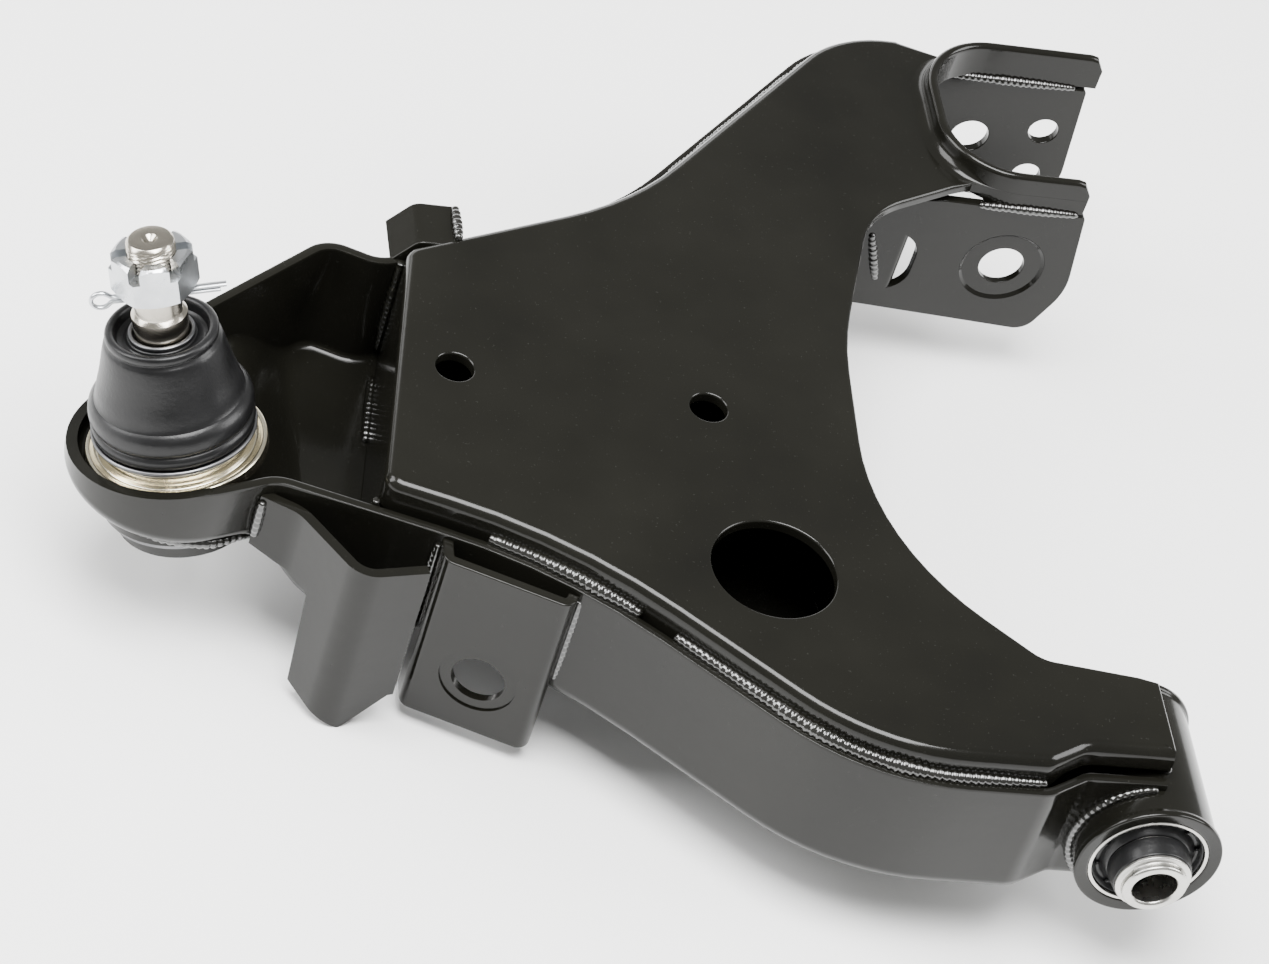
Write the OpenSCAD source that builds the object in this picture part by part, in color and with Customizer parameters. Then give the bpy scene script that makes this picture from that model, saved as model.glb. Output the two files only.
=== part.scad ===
// Front lower control arm: a boxed sheet-metal arm with a bush at the front pivot, a fork at
// the rear pivot and a ball joint in its nose.
// Frame: origin on the pivot axis at the front face of the bush tube, +Y along the pivot axis
// towards the fork, +Z up out of the top plate, +X inboard. The ball joint is at -X.

/* [Overall] */
// Pivot axis to ball joint, across the arm
arm_reach = 347.6; // [280:0.1:430]
// Ball joint, along the pivot axis from the front face of the bush tube
ball_y = 151.5; // [120:0.1:190]
// Height of the ball joint's flange above the pivot axis
ball_z = 18; // [10:0.5:24]
// Front face of the bush tube to the front face of the near fork plate
fork_y = 309.3; // [270:0.1:380]
// Outside width of the fork, over both plates
fork_w = 83.3; // [70:0.1:100]

/* [Sheet] */
// Thickness of every pressed sheet
sheet = 4; // [3:0.1:5]
// Clearance left between pieces that are welded together
weld_gap = 0.2; // [0.1:0.05:0.4]
// Underside of the tray below the pivot axis
floor_drop = 26; // [22:0.5:32]
// Rim of the tray above the pivot axis
rim_z = 29; // [26:0.5:32]
// Top face of the top plate above the pivot axis
plate_z = 39.5; // [37:0.5:46]
// Ledge of tray left outside the top plate's edge
ledge = 6; // [5:0.1:9]
// Overhang of the top plate past the inner wall
inner_lap = 1; // [0:0.1:2]
// Depth of the top plate's turned-down edge
skirt_depth = 14.5; // [11:0.5:18]

/* [Tray outline] */
// Front wall at the bush: distance from the tube's front face
bush_land = 12; // [6:0.5:16]
// Front wall: corner of the jog beside the tube, x, y and bend radius
jog_out = [-29, 12, 8]; // [-400:0.5:400]
// Front wall: corner where the jog meets the belly, x, y and bend radius
jog_in = [-45, 3.2, 14]; // [-400:0.5:400]
// Front wall: corner of the belly, x, y and bend radius
belly = [-113, 3.2, 100]; // [-400:0.5:400]
// Front wall: corner of the shoulder, x and y from the ball joint, and bend radius
shoulder = [132.5, -59.4, 215]; // [-400:0.5:400]
// Front wall: corner of the waist beside the nose, x and y from the ball joint, and radius
waist = [33.6, -28.2, 12]; // [-400:0.5:400]
// Outside radius of the nose around the ball joint
nose_r = 38.5; // [37:0.1:44]
// Rear wall: corner of the cheek, x and y from the ball joint, and bend radius
cheek = [59.6, 102.5, 14]; // [-400:0.5:400]
// Rear wall: corner of the dip behind the cheek, x and y from the ball joint, and radius
cheek_dip = [80, 94, 12]; // [-400:0.5:400]
// Rear wall: corner of the waist, x, y back from the fork plate, and bend radius
rear_waist = [-172, 21.5, 130]; // [-400:0.5:400]
// Rear wall: corner beside the fork, x, y past the rear fork plate, and bend radius
rear_corner = [-71, 12, 55]; // [-400:0.5:400]
// Inner wall: end beside the tube, measured from the tube's front face
inner_end_y = 53; // [48:0.5:60]
// Inner wall: first corner past the tube, x, y and bend radius
inner_foot = [-42, 58, 15]; // [-400:0.5:400]
// Inner wall: lower corner of the bay, x, y and bend radius
bay_low = [-98, 110, 110]; // [-400:0.5:400]
// Inner wall: upper corner of the bay, x, y back from the fork plate, and bend radius
bay_high = [-93, 94.3, 150]; // [-400:0.5:400]
// Inner wall: splay of its last run towards the fork, in degrees
bay_splay = 16.2; // [0:0.1:30]
// End of the box between the fork plates
box_end_x = -42; // [-60:0.5:-38]
// Nose floor: height of its underside above the pivot axis
nose_floor_z = 0; // [-6:0.5:4]
// Nose floor: start and end of the ramp, from the ball joint
nose_ramp = [24, 56]; // [10:0.5:90]
// Nose rim: height above the ball joint's flange
nose_rim = 3; // [1:0.5:5]

/* [Top plate] */
// Left edge at the front wall and at the rear wall, x from the ball joint
plate_left = [68.5, 88.5]; // [50:0.5:120]
// Right edge of the plate over the bush tube
plate_right = 1.5; // [0:0.5:8]
// Large hole: x, y and radius
big_hole = [-137.7, 91.8, 23.3]; // [-300:0.1:300]
// Outboard small hole: x, y and radius
small_hole_a = [-247.2, 179.8, 7.1]; // [-300:0.1:300]
// Middle small hole: x, y and radius
small_hole_b = [-151.8, 171.3, 7.1]; // [-300:0.1:300]
// Notch over the fork: depth of its closed end from the pivot axis
notch_depth = 32.5; // [28:0.5:36]
// Corner radius of the notch
notch_r = 28; // [20:0.5:32]
// Height of the notch flange above the top face
notch_flange = 9; // [6:0.5:14]
// Length of the front tongue past the pivot axis
near_tongue = 24; // [18:0.5:30]
// Length of the rear tongue past the pivot axis
far_tongue = 45; // [34:0.5:54]

/* [Fork plates] */
// Depth of the fork plates below the pivot axis
fork_drop = 33; // [30:0.5:40]
// Top edge of the fork plates above the pivot axis
fork_top = 32; // [28:0.5:35]
// Outboard edge of the fork plates
fork_back = 64; // [58:0.5:72]
// Reach of the front plate past the pivot axis
near_reach = 31; // [26:0.5:36]
// Reach of the rear plate past the pivot axis
far_reach = 46; // [36:0.5:54]
// Radius of the front pivot hole
near_hole_r = 9.3; // [8:0.05:11]
// Radius of the rear pivot hole
far_hole_r = 8.1; // [7:0.05:10]
// Pressed pad around the front pivot hole: radius and depth
near_pad = [16.7, 1]; // [0.5:0.1:20]
// Window in the front plate: x, z, width and height
near_window = [-48, -3, 22, 30]; // [-60:0.5:40]
// Bolt holes in the rear plate: x, middle height, spacing and radius
far_bolts = [30.5, -5.5, 25, 6.3]; // [-40:0.1:40]

/* [Bush] */
// Outside radius of the bush tube
tube_r = 26; // [24:0.1:30]
// Wall of the bush tube
tube_wall = 4; // [3:0.1:5]
// Length of the bush tube
tube_len = 64; // [56:0.5:80]
// Wall of the bush's outer sleeve
outer_sleeve_wall = 1.6; // [1.2:0.1:2.5]
// Radius of the inner sleeve's body
inner_sleeve_r = 13.8; // [12:0.1:15]
// Radius of the inner sleeve's stepped ends
inner_sleeve_end_r = 11.9; // [10.5:0.1:13]
// Length of each stepped end
inner_step = 3; // [2:0.5:5]
// Bore of the inner sleeve, radius
inner_bore_r = 8.15; // [7.5:0.05:9]
// Overhang of the inner sleeve past each end of the tube
inner_over = 12; // [8:0.5:16]
// Setback of the rubber from the tube's faces
rubber_setback = 2.5; // [1:0.5:5]
// Interference-free clearance of a pressed or bonded fit
press_gap = 0.02; // [0.01:0.01:0.05]

/* [Shock bracket] */
// Front face: left end of the web, x and y from the ball joint
bracket_left = [91.6, -57.5]; // [-100:0.5:200]
// Front face: right end of the web, x and y from the ball joint
bracket_right = [137, -76]; // [-100:0.5:200]
// Top and bottom edges of the bracket
bracket_z = [27, -51]; // [-80:0.5:40]
// Bolt hole: distance from the left end of the web, height and radius
bracket_hole = [24.5, -25, 10.1]; // [-40:0.1:40]
// Pressed ring around the bolt hole: radius and depth
bracket_ring = [14.6, 0.8]; // [0.5:0.1:20]
// Splay of the left flange away from square, in degrees
left_splay = 20; // [0:0.5:30]
// Depth of the left and of the right flange behind the front face
bracket_flange = [10.5, 7]; // [4:0.5:20]

/* [Gusset] */
// Front face where the gusset leaves the wall, x and y from the ball joint
gusset_root = [28, -31]; // [-100:0.5:200]
// Front face at the first bend, x and y from the ball joint
gusset_bend_a = [41.5, -37.5]; // [-100:0.5:200]
// Front face at the second bend, x and y from the ball joint
gusset_bend_b = [62, -66]; // [-100:0.5:200]
// Top edge and lowest edge of the gusset
gusset_z = [24, -59]; // [-80:0.5:40]
// Height of the strip that lies along the nose
gusset_strip = 24; // [16:0.5:34]
// End of the gusset, x and y from the bracket's left corner
gusset_tail = [-4, -2.5]; // [-12:0.5:4]
// Heights above the lowest edge: at the strip's side, and at the bracket
gusset_hem = [9, 16]; // [4:0.5:30]

/* [Stop tab] */
// Tab at the rear wall: left bend, x from the ball joint
tab_bend = 92.6; // [70:0.5:130]
// Width of the level leaf and of the sloping leaf
tab_leaf = [15, 14]; // [8:0.5:24]
// Reach of the tab past the plate's left corner, along the pivot axis
tab_reach = 116; // [105:0.5:130]
// Angle of the sloping leaf
tab_angle = 50; // [30:1:70]

/* [Ball joint] */
// Lean of the ball joint outboard
lean_out = 15.4; // [8:0.1:22]
// Lean of the ball joint towards the fork
lean_back = 8.5; // [0:0.1:15]
// Radius of the ball
ball_r = 16; // [14:0.1:18]
// Ball centre below the flange's top face
ball_depth = 11; // [9:0.5:14]
// Running clearance round the ball
ball_gap = 0.05; // [0.02:0.01:0.1]
// Wall of the plastic seats at the ball's middle
seat_wall = 3; // [2:0.1:4]
// Thickness of the lower seat under the ball
seat_base = 2.5; // [1.5:0.1:4]
// Height of the upper seat above the ball's middle, per ball radius
seat_wrap = 0.56; // [0.4:0.01:0.7]
// Radius and thickness of the housing's flange
flange = [33, 5]; // [3:0.1:40]
// Radius of the housing's pressed body
body_r = 25.5; // [23:0.1:28]
// Outside radius of the welded collar
collar_r = 30; // [28:0.1:32]
// Depth of the collar below the flange's top face
collar_depth = 26; // [20:0.5:30]
// Boot seat on the housing: radius of its step, and height above the flange
boot_seat = [28, 9]; // [5:0.1:32]
// Depth of the groove that the boot grips
boot_grip = 1.5; // [0.5:0.1:3]
// Thickness of the closing cover, and of the preload washer
closing = [3, 1.5]; // [1:0.1:5]
// Retaining ring: thickness and depth of its groove
snap = [2, 1.8]; // [1:0.1:4]

/* [Boot] */
// Largest radius of the boot and its wall
boot_bulge = [30, 2.5]; // [1.5:0.1:36]
// Top lip of the boot: radius and height above the flange
boot_lip = [19.7, 50]; // [12:0.1:60]
// Section radius of the lower and of the upper boot ring
boot_wire = [0.9, 0.9]; // [0.6:0.1:2]
// Gap left between pieces that move past each other
move_gap = 0.3; // [0.2:0.05:0.6]

/* [Stud] */
// Radius of the stud's neck at the ball
neck_r = 7.5; // [6.5:0.1:9]
// Radius of the stud at the boot lip
seat_r = 9.8; // [9:0.1:11.5]
// Radius and height of the shoulder ring above the boot lip
stud_ring = [10.1, 6.5]; // [2:0.1:13]
// Radius of the stud under the nut
shank_r = 8.8; // [8:0.1:9.8]
// Thread radius
thread_r = 8.6; // [7.5:0.1:9.5]
// Length of the stud above the flange
stud_len = 88; // [76:0.5:100]
// Chamfer of the stud's end
stud_chamfer = 0.9; // [0.5:0.1:2]
// Cross hole: distance down from the stud's end, and radius
cross_hole = [24, 1.9]; // [1.5:0.1:30]

/* [Nut and pin] */
// Hexagon size across flats, and height
nut_hex = [27, 14.5]; // [8:0.1:32]
// Crown of the nut: radius and height
nut_crown = [11, 1.5]; // [5:0.1:15]
// Slots in the crown: width and depth
nut_slot = [4.4, 5.5]; // [2:0.1:9]
// Distance from the stud's end down to the top of the crown
nut_drop = 5; // [0:0.5:8]
// Running clearance of the thread
thread_gap = 0.08; // [0.04:0.01:0.1]
// Cotter pin: clearance in the cross hole, and length of the pin
pin = [0.2, 42]; // [0.1:0.1:60]
// Radius of the pin's eye, to the middle of the wire
pin_eye = 3; // [2:0.1:5]

/* [Hidden] */
$fn = 72;

ball = [-arm_reach, ball_y, ball_z];
ball_xy = [ball.x, ball.y];
fork_far_y = fork_y + fork_w;
fork_gap_near = fork_y + sheet;
fork_gap_far = fork_far_y - sheet;
pan_inner_z = plate_z - sheet - weld_gap;
steel_black = [0.07, 0.07, 0.075];

// --- outline helpers -------------------------------------------------------------------

function unit(v) = v / norm(v);
function turn(a) = [cos(a), sin(a)];
function right_of(v) = [v.y, -v.x];
function steps(sweep) = max(2, ceil(abs(sweep) / 7));

// Points of an arc about c, from angle a to angle b
function arc(c, r, a, b) = let (n = steps(b - a)) [for (i = [0:n]) c + r * turn(a + (b - a) * i / n)];

// The rounded corner p between its neighbours a and b
function corner(a, p, b, r) = let (
        u = unit(a - p), v = unit(b - p),
        half = acos(u * v) / 2,
        c = p + unit(u + v) * r / sin(half),
        from = p + u * r / tan(half) - c,
        to = p + v * r / tan(half) - c,
        start = atan2(from.y, from.x),
        full = atan2(to.y, to.x) - start,
        sweep = full > 180 ? full - 360 : full < -180 ? full + 360 : full)
    arc(c, r, start, start + sweep);

// An open path through [x, y, bend radius] corners, with plain first and last points
function bent(c) = let (n = len(c), p = [for (q = c) [q.x, q.y]])
    concat([p[0]], [for (i = [1:n - 2]) each corner(p[i - 1], p[i], p[i + 1], c[i][2])], [p[n - 1]]);

// The path moved sideways by d to its right
function beside(path, d) = let (n = len(path)) [for (i = [0:n - 1])
    path[i] + d * right_of(unit(path[min(i + 1, n - 1)] - path[max(i - 1, 0)]))];

function backwards(path) = [for (i = [len(path) - 1:-1:0]) path[i]];
function strip(path, d, t) = concat(beside(path, d), backwards(beside(path, d + t)));
function from_ball(v) = [ball.x + v.x, ball.y + v.y, len(v) > 2 ? v[2] : 0];

// Angle on the nose circle where the line from p touches it; side is -1 or 1
function touch(p, side) = let (d = p - ball_xy) atan2(d.y, d.x) + side * acos(nose_r / norm(d));

// --- outlines of the arm ---------------------------------------------------------------

// Outer face of the front wall, from the tube to the nose
waist_c = from_ball(waist);
near_touch = touch([waist_c.x, waist_c.y], -1);
near_path = bent([[0, bush_land], jog_out, jog_in, belly, from_ball(shoulder), waist_c,
    ball_xy + nose_r * turn(near_touch)]);

// Outer face of the rear wall, from the nose to the end of the box
cheek_c = from_ball(cheek);
far_touch = touch([cheek_c.x, cheek_c.y], 1) - 360;
waist_far = [rear_waist.x, fork_y - rear_waist.y, rear_waist[2]];
corner_far = [rear_corner.x, fork_far_y + rear_corner.y, rear_corner[2]];
far_path = bent([ball_xy + nose_r * turn(far_touch), cheek_c, from_ball(cheek_dip), waist_far,
    corner_far, [box_end_x, corner_far.y]]);

// Whole outer wall face: front wall, nose and rear wall in one path
nose_arc = arc(ball_xy, nose_r, near_touch, far_touch);
outer_path = concat(near_path, [for (i = [1:len(nose_arc) - 2]) nose_arc[i]], far_path);

// Outer face of the inner wall, from the fork to the tube
bay_c = [bay_high.x, fork_y - bay_high.y, bay_high[2]];
bay_end = [bay_c.x + (fork_y - bay_c.y) * tan(bay_splay), fork_y - weld_gap];
inner_path = bent([bay_end, bay_c, bay_low, inner_foot, [0, inner_end_y]]);
plate_inner = bent([[-notch_depth, fork_y], [bay_end.x - 6, fork_y - 19, 40], bay_c, bay_low,
    inner_foot, [plate_right, inner_end_y - 1]]);

// Outline of the tray's floor, d inside its wall faces
function pan_loop(d) = concat(beside(outer_path, d),
    [[box_end_x - d, fork_far_y], [box_end_x - d, fork_y], [bay_end.x, fork_y]],
    beside(inner_path, d));

// Outline of the top plate, d inside its edge
function plate_loop(d) = concat(beside(outer_path, ledge + d),
    [[-notch_depth, fork_far_y]], beside(plate_inner, d - inner_lap));

// Left edge line of the top plate
left_low = [ball.x + plate_left[0], ball.y - 40];
left_high = [ball.x + plate_left[1], ball.y + 92];

module left_clip(d) {
    shift = d * unit([left_high.y - left_low.y, left_low.x - left_high.x]);
    far_out = unit(left_high - left_low) * 200;
    polygon([left_low - far_out + shift, left_high + far_out + shift, [200, 900], [200, -200]]);
}

module drawn(z0, z1) {
    translate([0, 0, z0]) linear_extrude(z1 - z0) children();
}

module at_ball() {
    translate(ball) rotate([-lean_back, 0, 0]) rotate([0, -lean_out, 0]) children();
}

// --- tray ------------------------------------------------------------------------------

module pan_underside(up) {
    // Everything under the floor line, raised by up, as a prism along Y
    profile = [[-arm_reach - 90, -120], [-arm_reach - 90, nose_floor_z + up],
        [ball.x + nose_ramp[0], nose_floor_z + up], [ball.x + nose_ramp[1], up - floor_drop],
        [90, up - floor_drop], [90, -120]];
    translate([0, 600, 0]) rotate([90, 0, 0]) linear_extrude(800) polygon(profile);
}

module pan_outside() {
    drawn(-floor_drop - sheet, rim_z) polygon(pan_loop(0));
    drawn(-floor_drop - sheet, pan_inner_z) polygon(strip(inner_path, 0, sheet));
}

module pan_inside() {
    // The hollow above the floor, open at the bush end and closed at the fork end
    difference() {
        drawn(-floor_drop, plate_z + 20) polygon(concat([[20, bush_land + sheet]],
            pan_loop(sheet), [[20, inner_end_y - sheet]]));
        pan_underside(sheet);
        translate([box_end_x - sheet, fork_y, -100]) cube([200, 200, 300]);
    }
}

module fork_slot(y) {
    translate([-fork_back - weld_gap, y - weld_gap, -floor_drop - 1])
        cube([fork_back + 60, sheet + 2 * weld_gap, 120]);
}

module lower_pan() {
    color(steel_black) difference() {
        pan_outside();
        pan_inside();
        pan_underside(0);
        at_ball() translate([0, 0, nose_rim]) cylinder(r = nose_r + 10, h = 80);
        rotate([-90, 0, 0]) translate([0, 0, -20])
            cylinder(r = tube_r + weld_gap, h = tube_len + 40);
        fork_slot(fork_y);
        fork_slot(fork_gap_far);
        at_ball() translate([0, 0, -80]) cylinder(r = collar_r + weld_gap, h = 80 + nose_rim);
        at_ball() translate([0, 0, -flange[1] - weld_gap])
            cylinder(r = flange[0] + weld_gap, h = flange[1] + weld_gap + nose_rim);
    }
}

// --- top plate -------------------------------------------------------------------------

notch_path = bent([[near_tongue, fork_gap_near], [-notch_depth, fork_gap_near, notch_r],
    [-notch_depth, fork_gap_far, notch_r], [far_tongue, fork_gap_far]]);

module notch_strip() {
    difference() {
        drawn(fork_top + 2 * weld_gap, plate_z + notch_flange)
            polygon(strip(notch_path, -sheet, sheet));
        // Rounded upper corners of the two tongue tips
        tongue_tip(near_tongue, fork_y);
        tongue_tip(far_tongue, fork_gap_far);
    }
}

module tongue_tip(x, y) {
    tip_r = notch_flange * 0.6;
    translate([x - tip_r, y - 1, plate_z + notch_flange - tip_r]) difference() {
        cube([tip_r + 1, sheet + 2, tip_r + 1]);
        rotate([-90, 0, 0]) translate([0, 0, -1]) cylinder(r = tip_r, h = sheet + 4);
    }
}

module plate_sheet() {
    difference() {
        intersection() {
            drawn(plate_z - sheet, plate_z) polygon(plate_loop(0));
            drawn(plate_z - sheet, plate_z) left_clip(0);
        }
        drawn(plate_z - 20, plate_z + 20)
            polygon(concat(beside(notch_path, -sheet / 2), [[200, fork_far_y], [200, fork_y]]));
    }
}

module plate_skirt() {
    difference() {
        intersection() {
            drawn(plate_z - skirt_depth, plate_z)
                polygon(strip(outer_path, ledge, sheet));
            drawn(plate_z - skirt_depth, plate_z) left_clip(0);
        }
        // The edge turns down only as far as the fork and the bush tube
        translate([-fork_back, fork_y - 20, -50]) cube([200, 200, 50 + plate_z - sheet]);
        translate([-tube_r - 14, -20, -50]) cube([200, 100, 50 + plate_z - sheet]);
    }
}

module plate_left_flange() {
    intersection() {
        difference() {
            drawn(-floor_drop + sheet + weld_gap, plate_z) left_clip(0);
            drawn(-floor_drop, plate_z + 1) left_clip(sheet);
        }
        drawn(-floor_drop, plate_z) polygon(pan_loop(ledge));
    }
}

module top_plate() {
    color(steel_black) difference() {
        union() {
            plate_sheet();
            plate_skirt();
            plate_left_flange();
            notch_strip();
            // Turned-down end over the bush tube
            translate([plate_right - sheet, bush_land + ledge, tube_r + 2 * weld_gap])
                cube([sheet, inner_end_y - 1.5 * sheet - bush_land - ledge,
                    plate_z - tube_r - 2 * weld_gap]);
        }
        for (h = [big_hole, small_hole_a, small_hole_b])
            translate([h.x, h.y, 0]) cylinder(r = h[2], h = 100);
        rotate([-90, 0, 0]) translate([0, 0, -20])
            cylinder(r = tube_r + weld_gap, h = tube_len + 40);
    }
}

// --- fork plates -----------------------------------------------------------------------

module upright(y, outline) {
    // A sheet outline drawn in X and Z, standing with its front face at y
    translate([0, y + sheet, 0]) rotate([90, 0, 0]) linear_extrude(sheet) polygon(outline);
}

module pivot_bore(y, r, x = 0, z = 0, deep = 20) {
    translate([x, y, z]) rotate([-90, 0, 0]) translate([0, 0, -deep / 2])
        cylinder(r = r, h = deep);
}

module rounded_window(w, h) {
    r = w / 2;
    rotate([-90, 0, 0]) union() {
        translate([0, h / 2 - r, 0]) cylinder(r = r, h = 20, center = true);
        translate([0, r - h / 2, 0]) cylinder(r = r, h = 20, center = true);
        cube([w, h - w, 20], center = true);
    }
}

near_outline = bent([[-fork_back, -floor_drop - 1], [near_reach - 11, -fork_drop, 9],
    [near_reach, -fork_drop * 0.3, 30], [near_reach - 5, fork_top - 1, 2],
    [-notch_depth, fork_top, 10], [-fork_back, fork_top - 3]]);
far_outline = bent([[-fork_back, -floor_drop - 1], [far_reach - 5, -fork_drop, 9],
    [far_reach, -fork_drop * 0.5, 20], [far_reach - 4, fork_top - 1, 2],
    [-notch_depth, fork_top, 10], [-fork_back, fork_top - 3]]);

module fork_near_plate() {
    color(steel_black) difference() {
        upright(fork_y, near_outline);
        pivot_bore(fork_y, near_hole_r);
        translate([0, fork_y, 0]) rotate([90, 0, 0]) translate([0, 0, -near_pad[1]])
            cylinder(r = near_pad[0], h = 10);
        translate([near_window[0], fork_y, near_window[1]])
            rounded_window(near_window[2], near_window[3]);
        skirt_room();
    }
}

module skirt_room() {
    // Keeps the plates clear of the turned-down edge and the inner wall of the box
    drawn(plate_z - sheet - weld_gap, plate_z + 40) square(2000, center = true);
    drawn(-100, plate_z + 40) polygon(strip(outer_path, -2, ledge + sheet + weld_gap + 2));
}

module fork_far_plate() {
    color(steel_black) difference() {
        upright(fork_gap_far, far_outline);
        pivot_bore(fork_gap_far, far_hole_r);
        for (s = [-1, 1])
            pivot_bore(fork_gap_far, far_bolts[3], far_bolts[0], far_bolts[1] + s * far_bolts[2] / 2);
        skirt_room();
    }
}

// --- bush ------------------------------------------------------------------------------

tube_in = tube_r - tube_wall;
sleeve_out = tube_in - press_gap;
sleeve_in = sleeve_out - outer_sleeve_wall;

module along_pivot(profile) {
    // Turns an [radius, distance along the pivot axis] outline about the pivot axis
    rotate([-90, 0, 0]) rotate_extrude() polygon(profile);
}

function ring_profile(r0, r1, y0, y1) = [[r0, y0], [r1, y0], [r1, y1], [r0, y1]];

module bush_tube() {
    color(steel_black) along_pivot(ring_profile(tube_in, tube_r, 0, tube_len));
}

module bush_outer_sleeve() {
    color([0.6, 0.6, 0.6]) along_pivot(ring_profile(sleeve_in, sleeve_out, 0.5, tube_len - 0.5));
}

module bush_rubber() {
    y0 = rubber_setback;
    y1 = tube_len - rubber_setback;
    r0 = inner_sleeve_r + press_gap;
    r1 = sleeve_in - press_gap;
    cup = 2.5;
    color([0.05, 0.05, 0.05]) along_pivot([[r0, y0 - 1], [r0 + 1.5, y0 - 1], [(r0 + r1) / 2, y0 + cup],
        [r1 - 1, y0], [r1, y0], [r1, y1], [r1 - 1, y1], [(r0 + r1) / 2, y1 - cup],
        [r0 + 1.5, y1 + 1], [r0, y1 + 1]]);
}

module bush_inner_sleeve() {
    y0 = -inner_over;
    y1 = tube_len + inner_over;
    color([0.7, 0.7, 0.68]) along_pivot([[inner_bore_r, y0], [inner_sleeve_end_r, y0],
        [inner_sleeve_end_r, y0 + inner_step], [inner_sleeve_r, y0 + inner_step],
        [inner_sleeve_r, y1 - inner_step], [inner_sleeve_end_r, y1 - inner_step],
        [inner_sleeve_end_r, y1], [inner_bore_r, y1]]);
}

// --- shock bracket, gusset and stop tab ------------------------------------------------

web_left = ball_xy + [bracket_left.x, bracket_left.y];
web_right = ball_xy + [bracket_right.x, bracket_right.y];
web_dir = unit(web_right - web_left);
web_out = right_of(web_dir);
web_angle = atan2(web_dir.y, web_dir.x);
flange_depth = 40;
room = 12;
bracket_bend = 5;

module wall_room(grow) {
    // The tray's outer shape, grown to leave the welding gap
    drawn(-floor_drop - grow, rim_z + grow) polygon(pan_loop(-grow));
}

module bracket_channel() {
    back_left = web_left - flange_depth * unit(web_out + tan(left_splay) * web_dir);
    back_right = web_right - flange_depth * web_out;
    channel = bent([[back_right.x, back_right.y], [web_right.x, web_right.y, bracket_bend],
        [web_left.x, web_left.y, bracket_bend], [back_left.x, back_left.y]]);
    // The flanges end on a straight line behind the web
    keep = [web_left + room * web_out - room * web_dir, web_right + room * web_out + room * web_dir,
        web_right - bracket_flange[1] * web_out + room * web_dir,
        web_left - bracket_flange[0] * web_out - room * web_dir];
    intersection() {
        drawn(bracket_z[1], bracket_z[0]) polygon(strip(channel, 0, sheet));
        drawn(bracket_z[1], bracket_z[0]) polygon(keep);
    }
}

module on_web(along, z) {
    translate([web_left.x + along * web_dir.x, web_left.y + along * web_dir.y, z])
        rotate([0, 0, web_angle]) rotate([90, 0, 0]) children();
}

module shock_bracket() {
    color(steel_black) difference() {
        bracket_channel();
        wall_room(weld_gap);
        on_web(bracket_hole[0], bracket_hole[1]) translate([0, 0, -20])
            cylinder(r = bracket_hole[2], h = 40);
        on_web(bracket_hole[0], bracket_hole[1]) translate([0, 0, -bracket_ring[1]])
            cylinder(r = bracket_ring[0], h = 20);
    }
}

module shock_gusset() {
    root = ball_xy + [gusset_root.x, gusset_root.y];
    bend_a = ball_xy + [gusset_bend_a.x, gusset_bend_a.y];
    bend_b = ball_xy + [gusset_bend_b.x, gusset_bend_b.y];
    tail = web_left + gusset_tail;
    path = backwards(bent([[root.x, root.y], [bend_a.x, bend_a.y, 14],
        [bend_b.x, bend_b.y, 12], [tail.x, tail.y]]));
    // Side view of the sheet: a strip along the nose and a panel that hangs below the tray
    hem = gusset_z[0] - gusset_strip;
    panel = 8;
    side = bent([[root.x - 1, gusset_z[0]], [root.x - 1, hem, 6],
        [bend_a.x + panel, hem - 4, 10], [bend_a.x + panel, gusset_z[1] + gusset_hem[0], 2],
        [bend_b.x + panel, gusset_z[1], 4], [tail.x - 2, gusset_z[1] + gusset_hem[1], 6],
        [tail.x + 1, gusset_z[0] - 2]]);
    color(steel_black) difference() {
        intersection() {
            drawn(gusset_z[1] - 1, gusset_z[0]) polygon(strip(path, 0, sheet));
            translate([0, ball.y, 0]) rotate([90, 0, 0]) linear_extrude(200) polygon(side);
        }
        wall_room(weld_gap);
    }
}

module stop_tab() {
    bend_x = ball.x + tab_bend;
    drop = tab_leaf[1];
    top = plate_z - 0.5;
    low = [bend_x - drop * cos(tab_angle), top - drop * sin(tab_angle)];
    profile = [[bend_x + tab_leaf[0], top], [bend_x, top], low,
        low + sheet * [sin(tab_angle), -cos(tab_angle)],
        [bend_x + sheet * tan(tab_angle / 2), top - sheet], [bend_x + tab_leaf[0], top - sheet]];
    color(steel_black) difference() {
        translate([0, ball.y + tab_reach, 0]) rotate([90, 0, 0]) linear_extrude(30) polygon(profile);
        wall_room(weld_gap);
        drawn(0, plate_z + 10) polygon(plate_loop(-weld_gap));
    }
}

// --- ball joint: distances run along its axis from the flange's top face ----------------

seat_out = ball_r + seat_wall;
bore_r = seat_out + press_gap;
seat_low = -ball_depth - ball_r - seat_base;
washer_low = seat_low - closing[1] - press_gap;
cover_low = washer_low - closing[0] - press_gap;
body_low = cover_low - 1;
seat_top = -ball_depth + ball_r * seat_wrap;
snap_top = -collar_depth - press_gap;
boot_foot = 4.4;

module turned(profile) {
    at_ball() rotate_extrude() polygon(profile);
}

module ball_joint_collar() {
    color(steel_black) turned([[body_r + press_gap, -collar_depth], [collar_r, -collar_depth],
        [collar_r, -flange[1] - weld_gap], [body_r + press_gap, -flange[1] - weld_gap]]);
}

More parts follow.
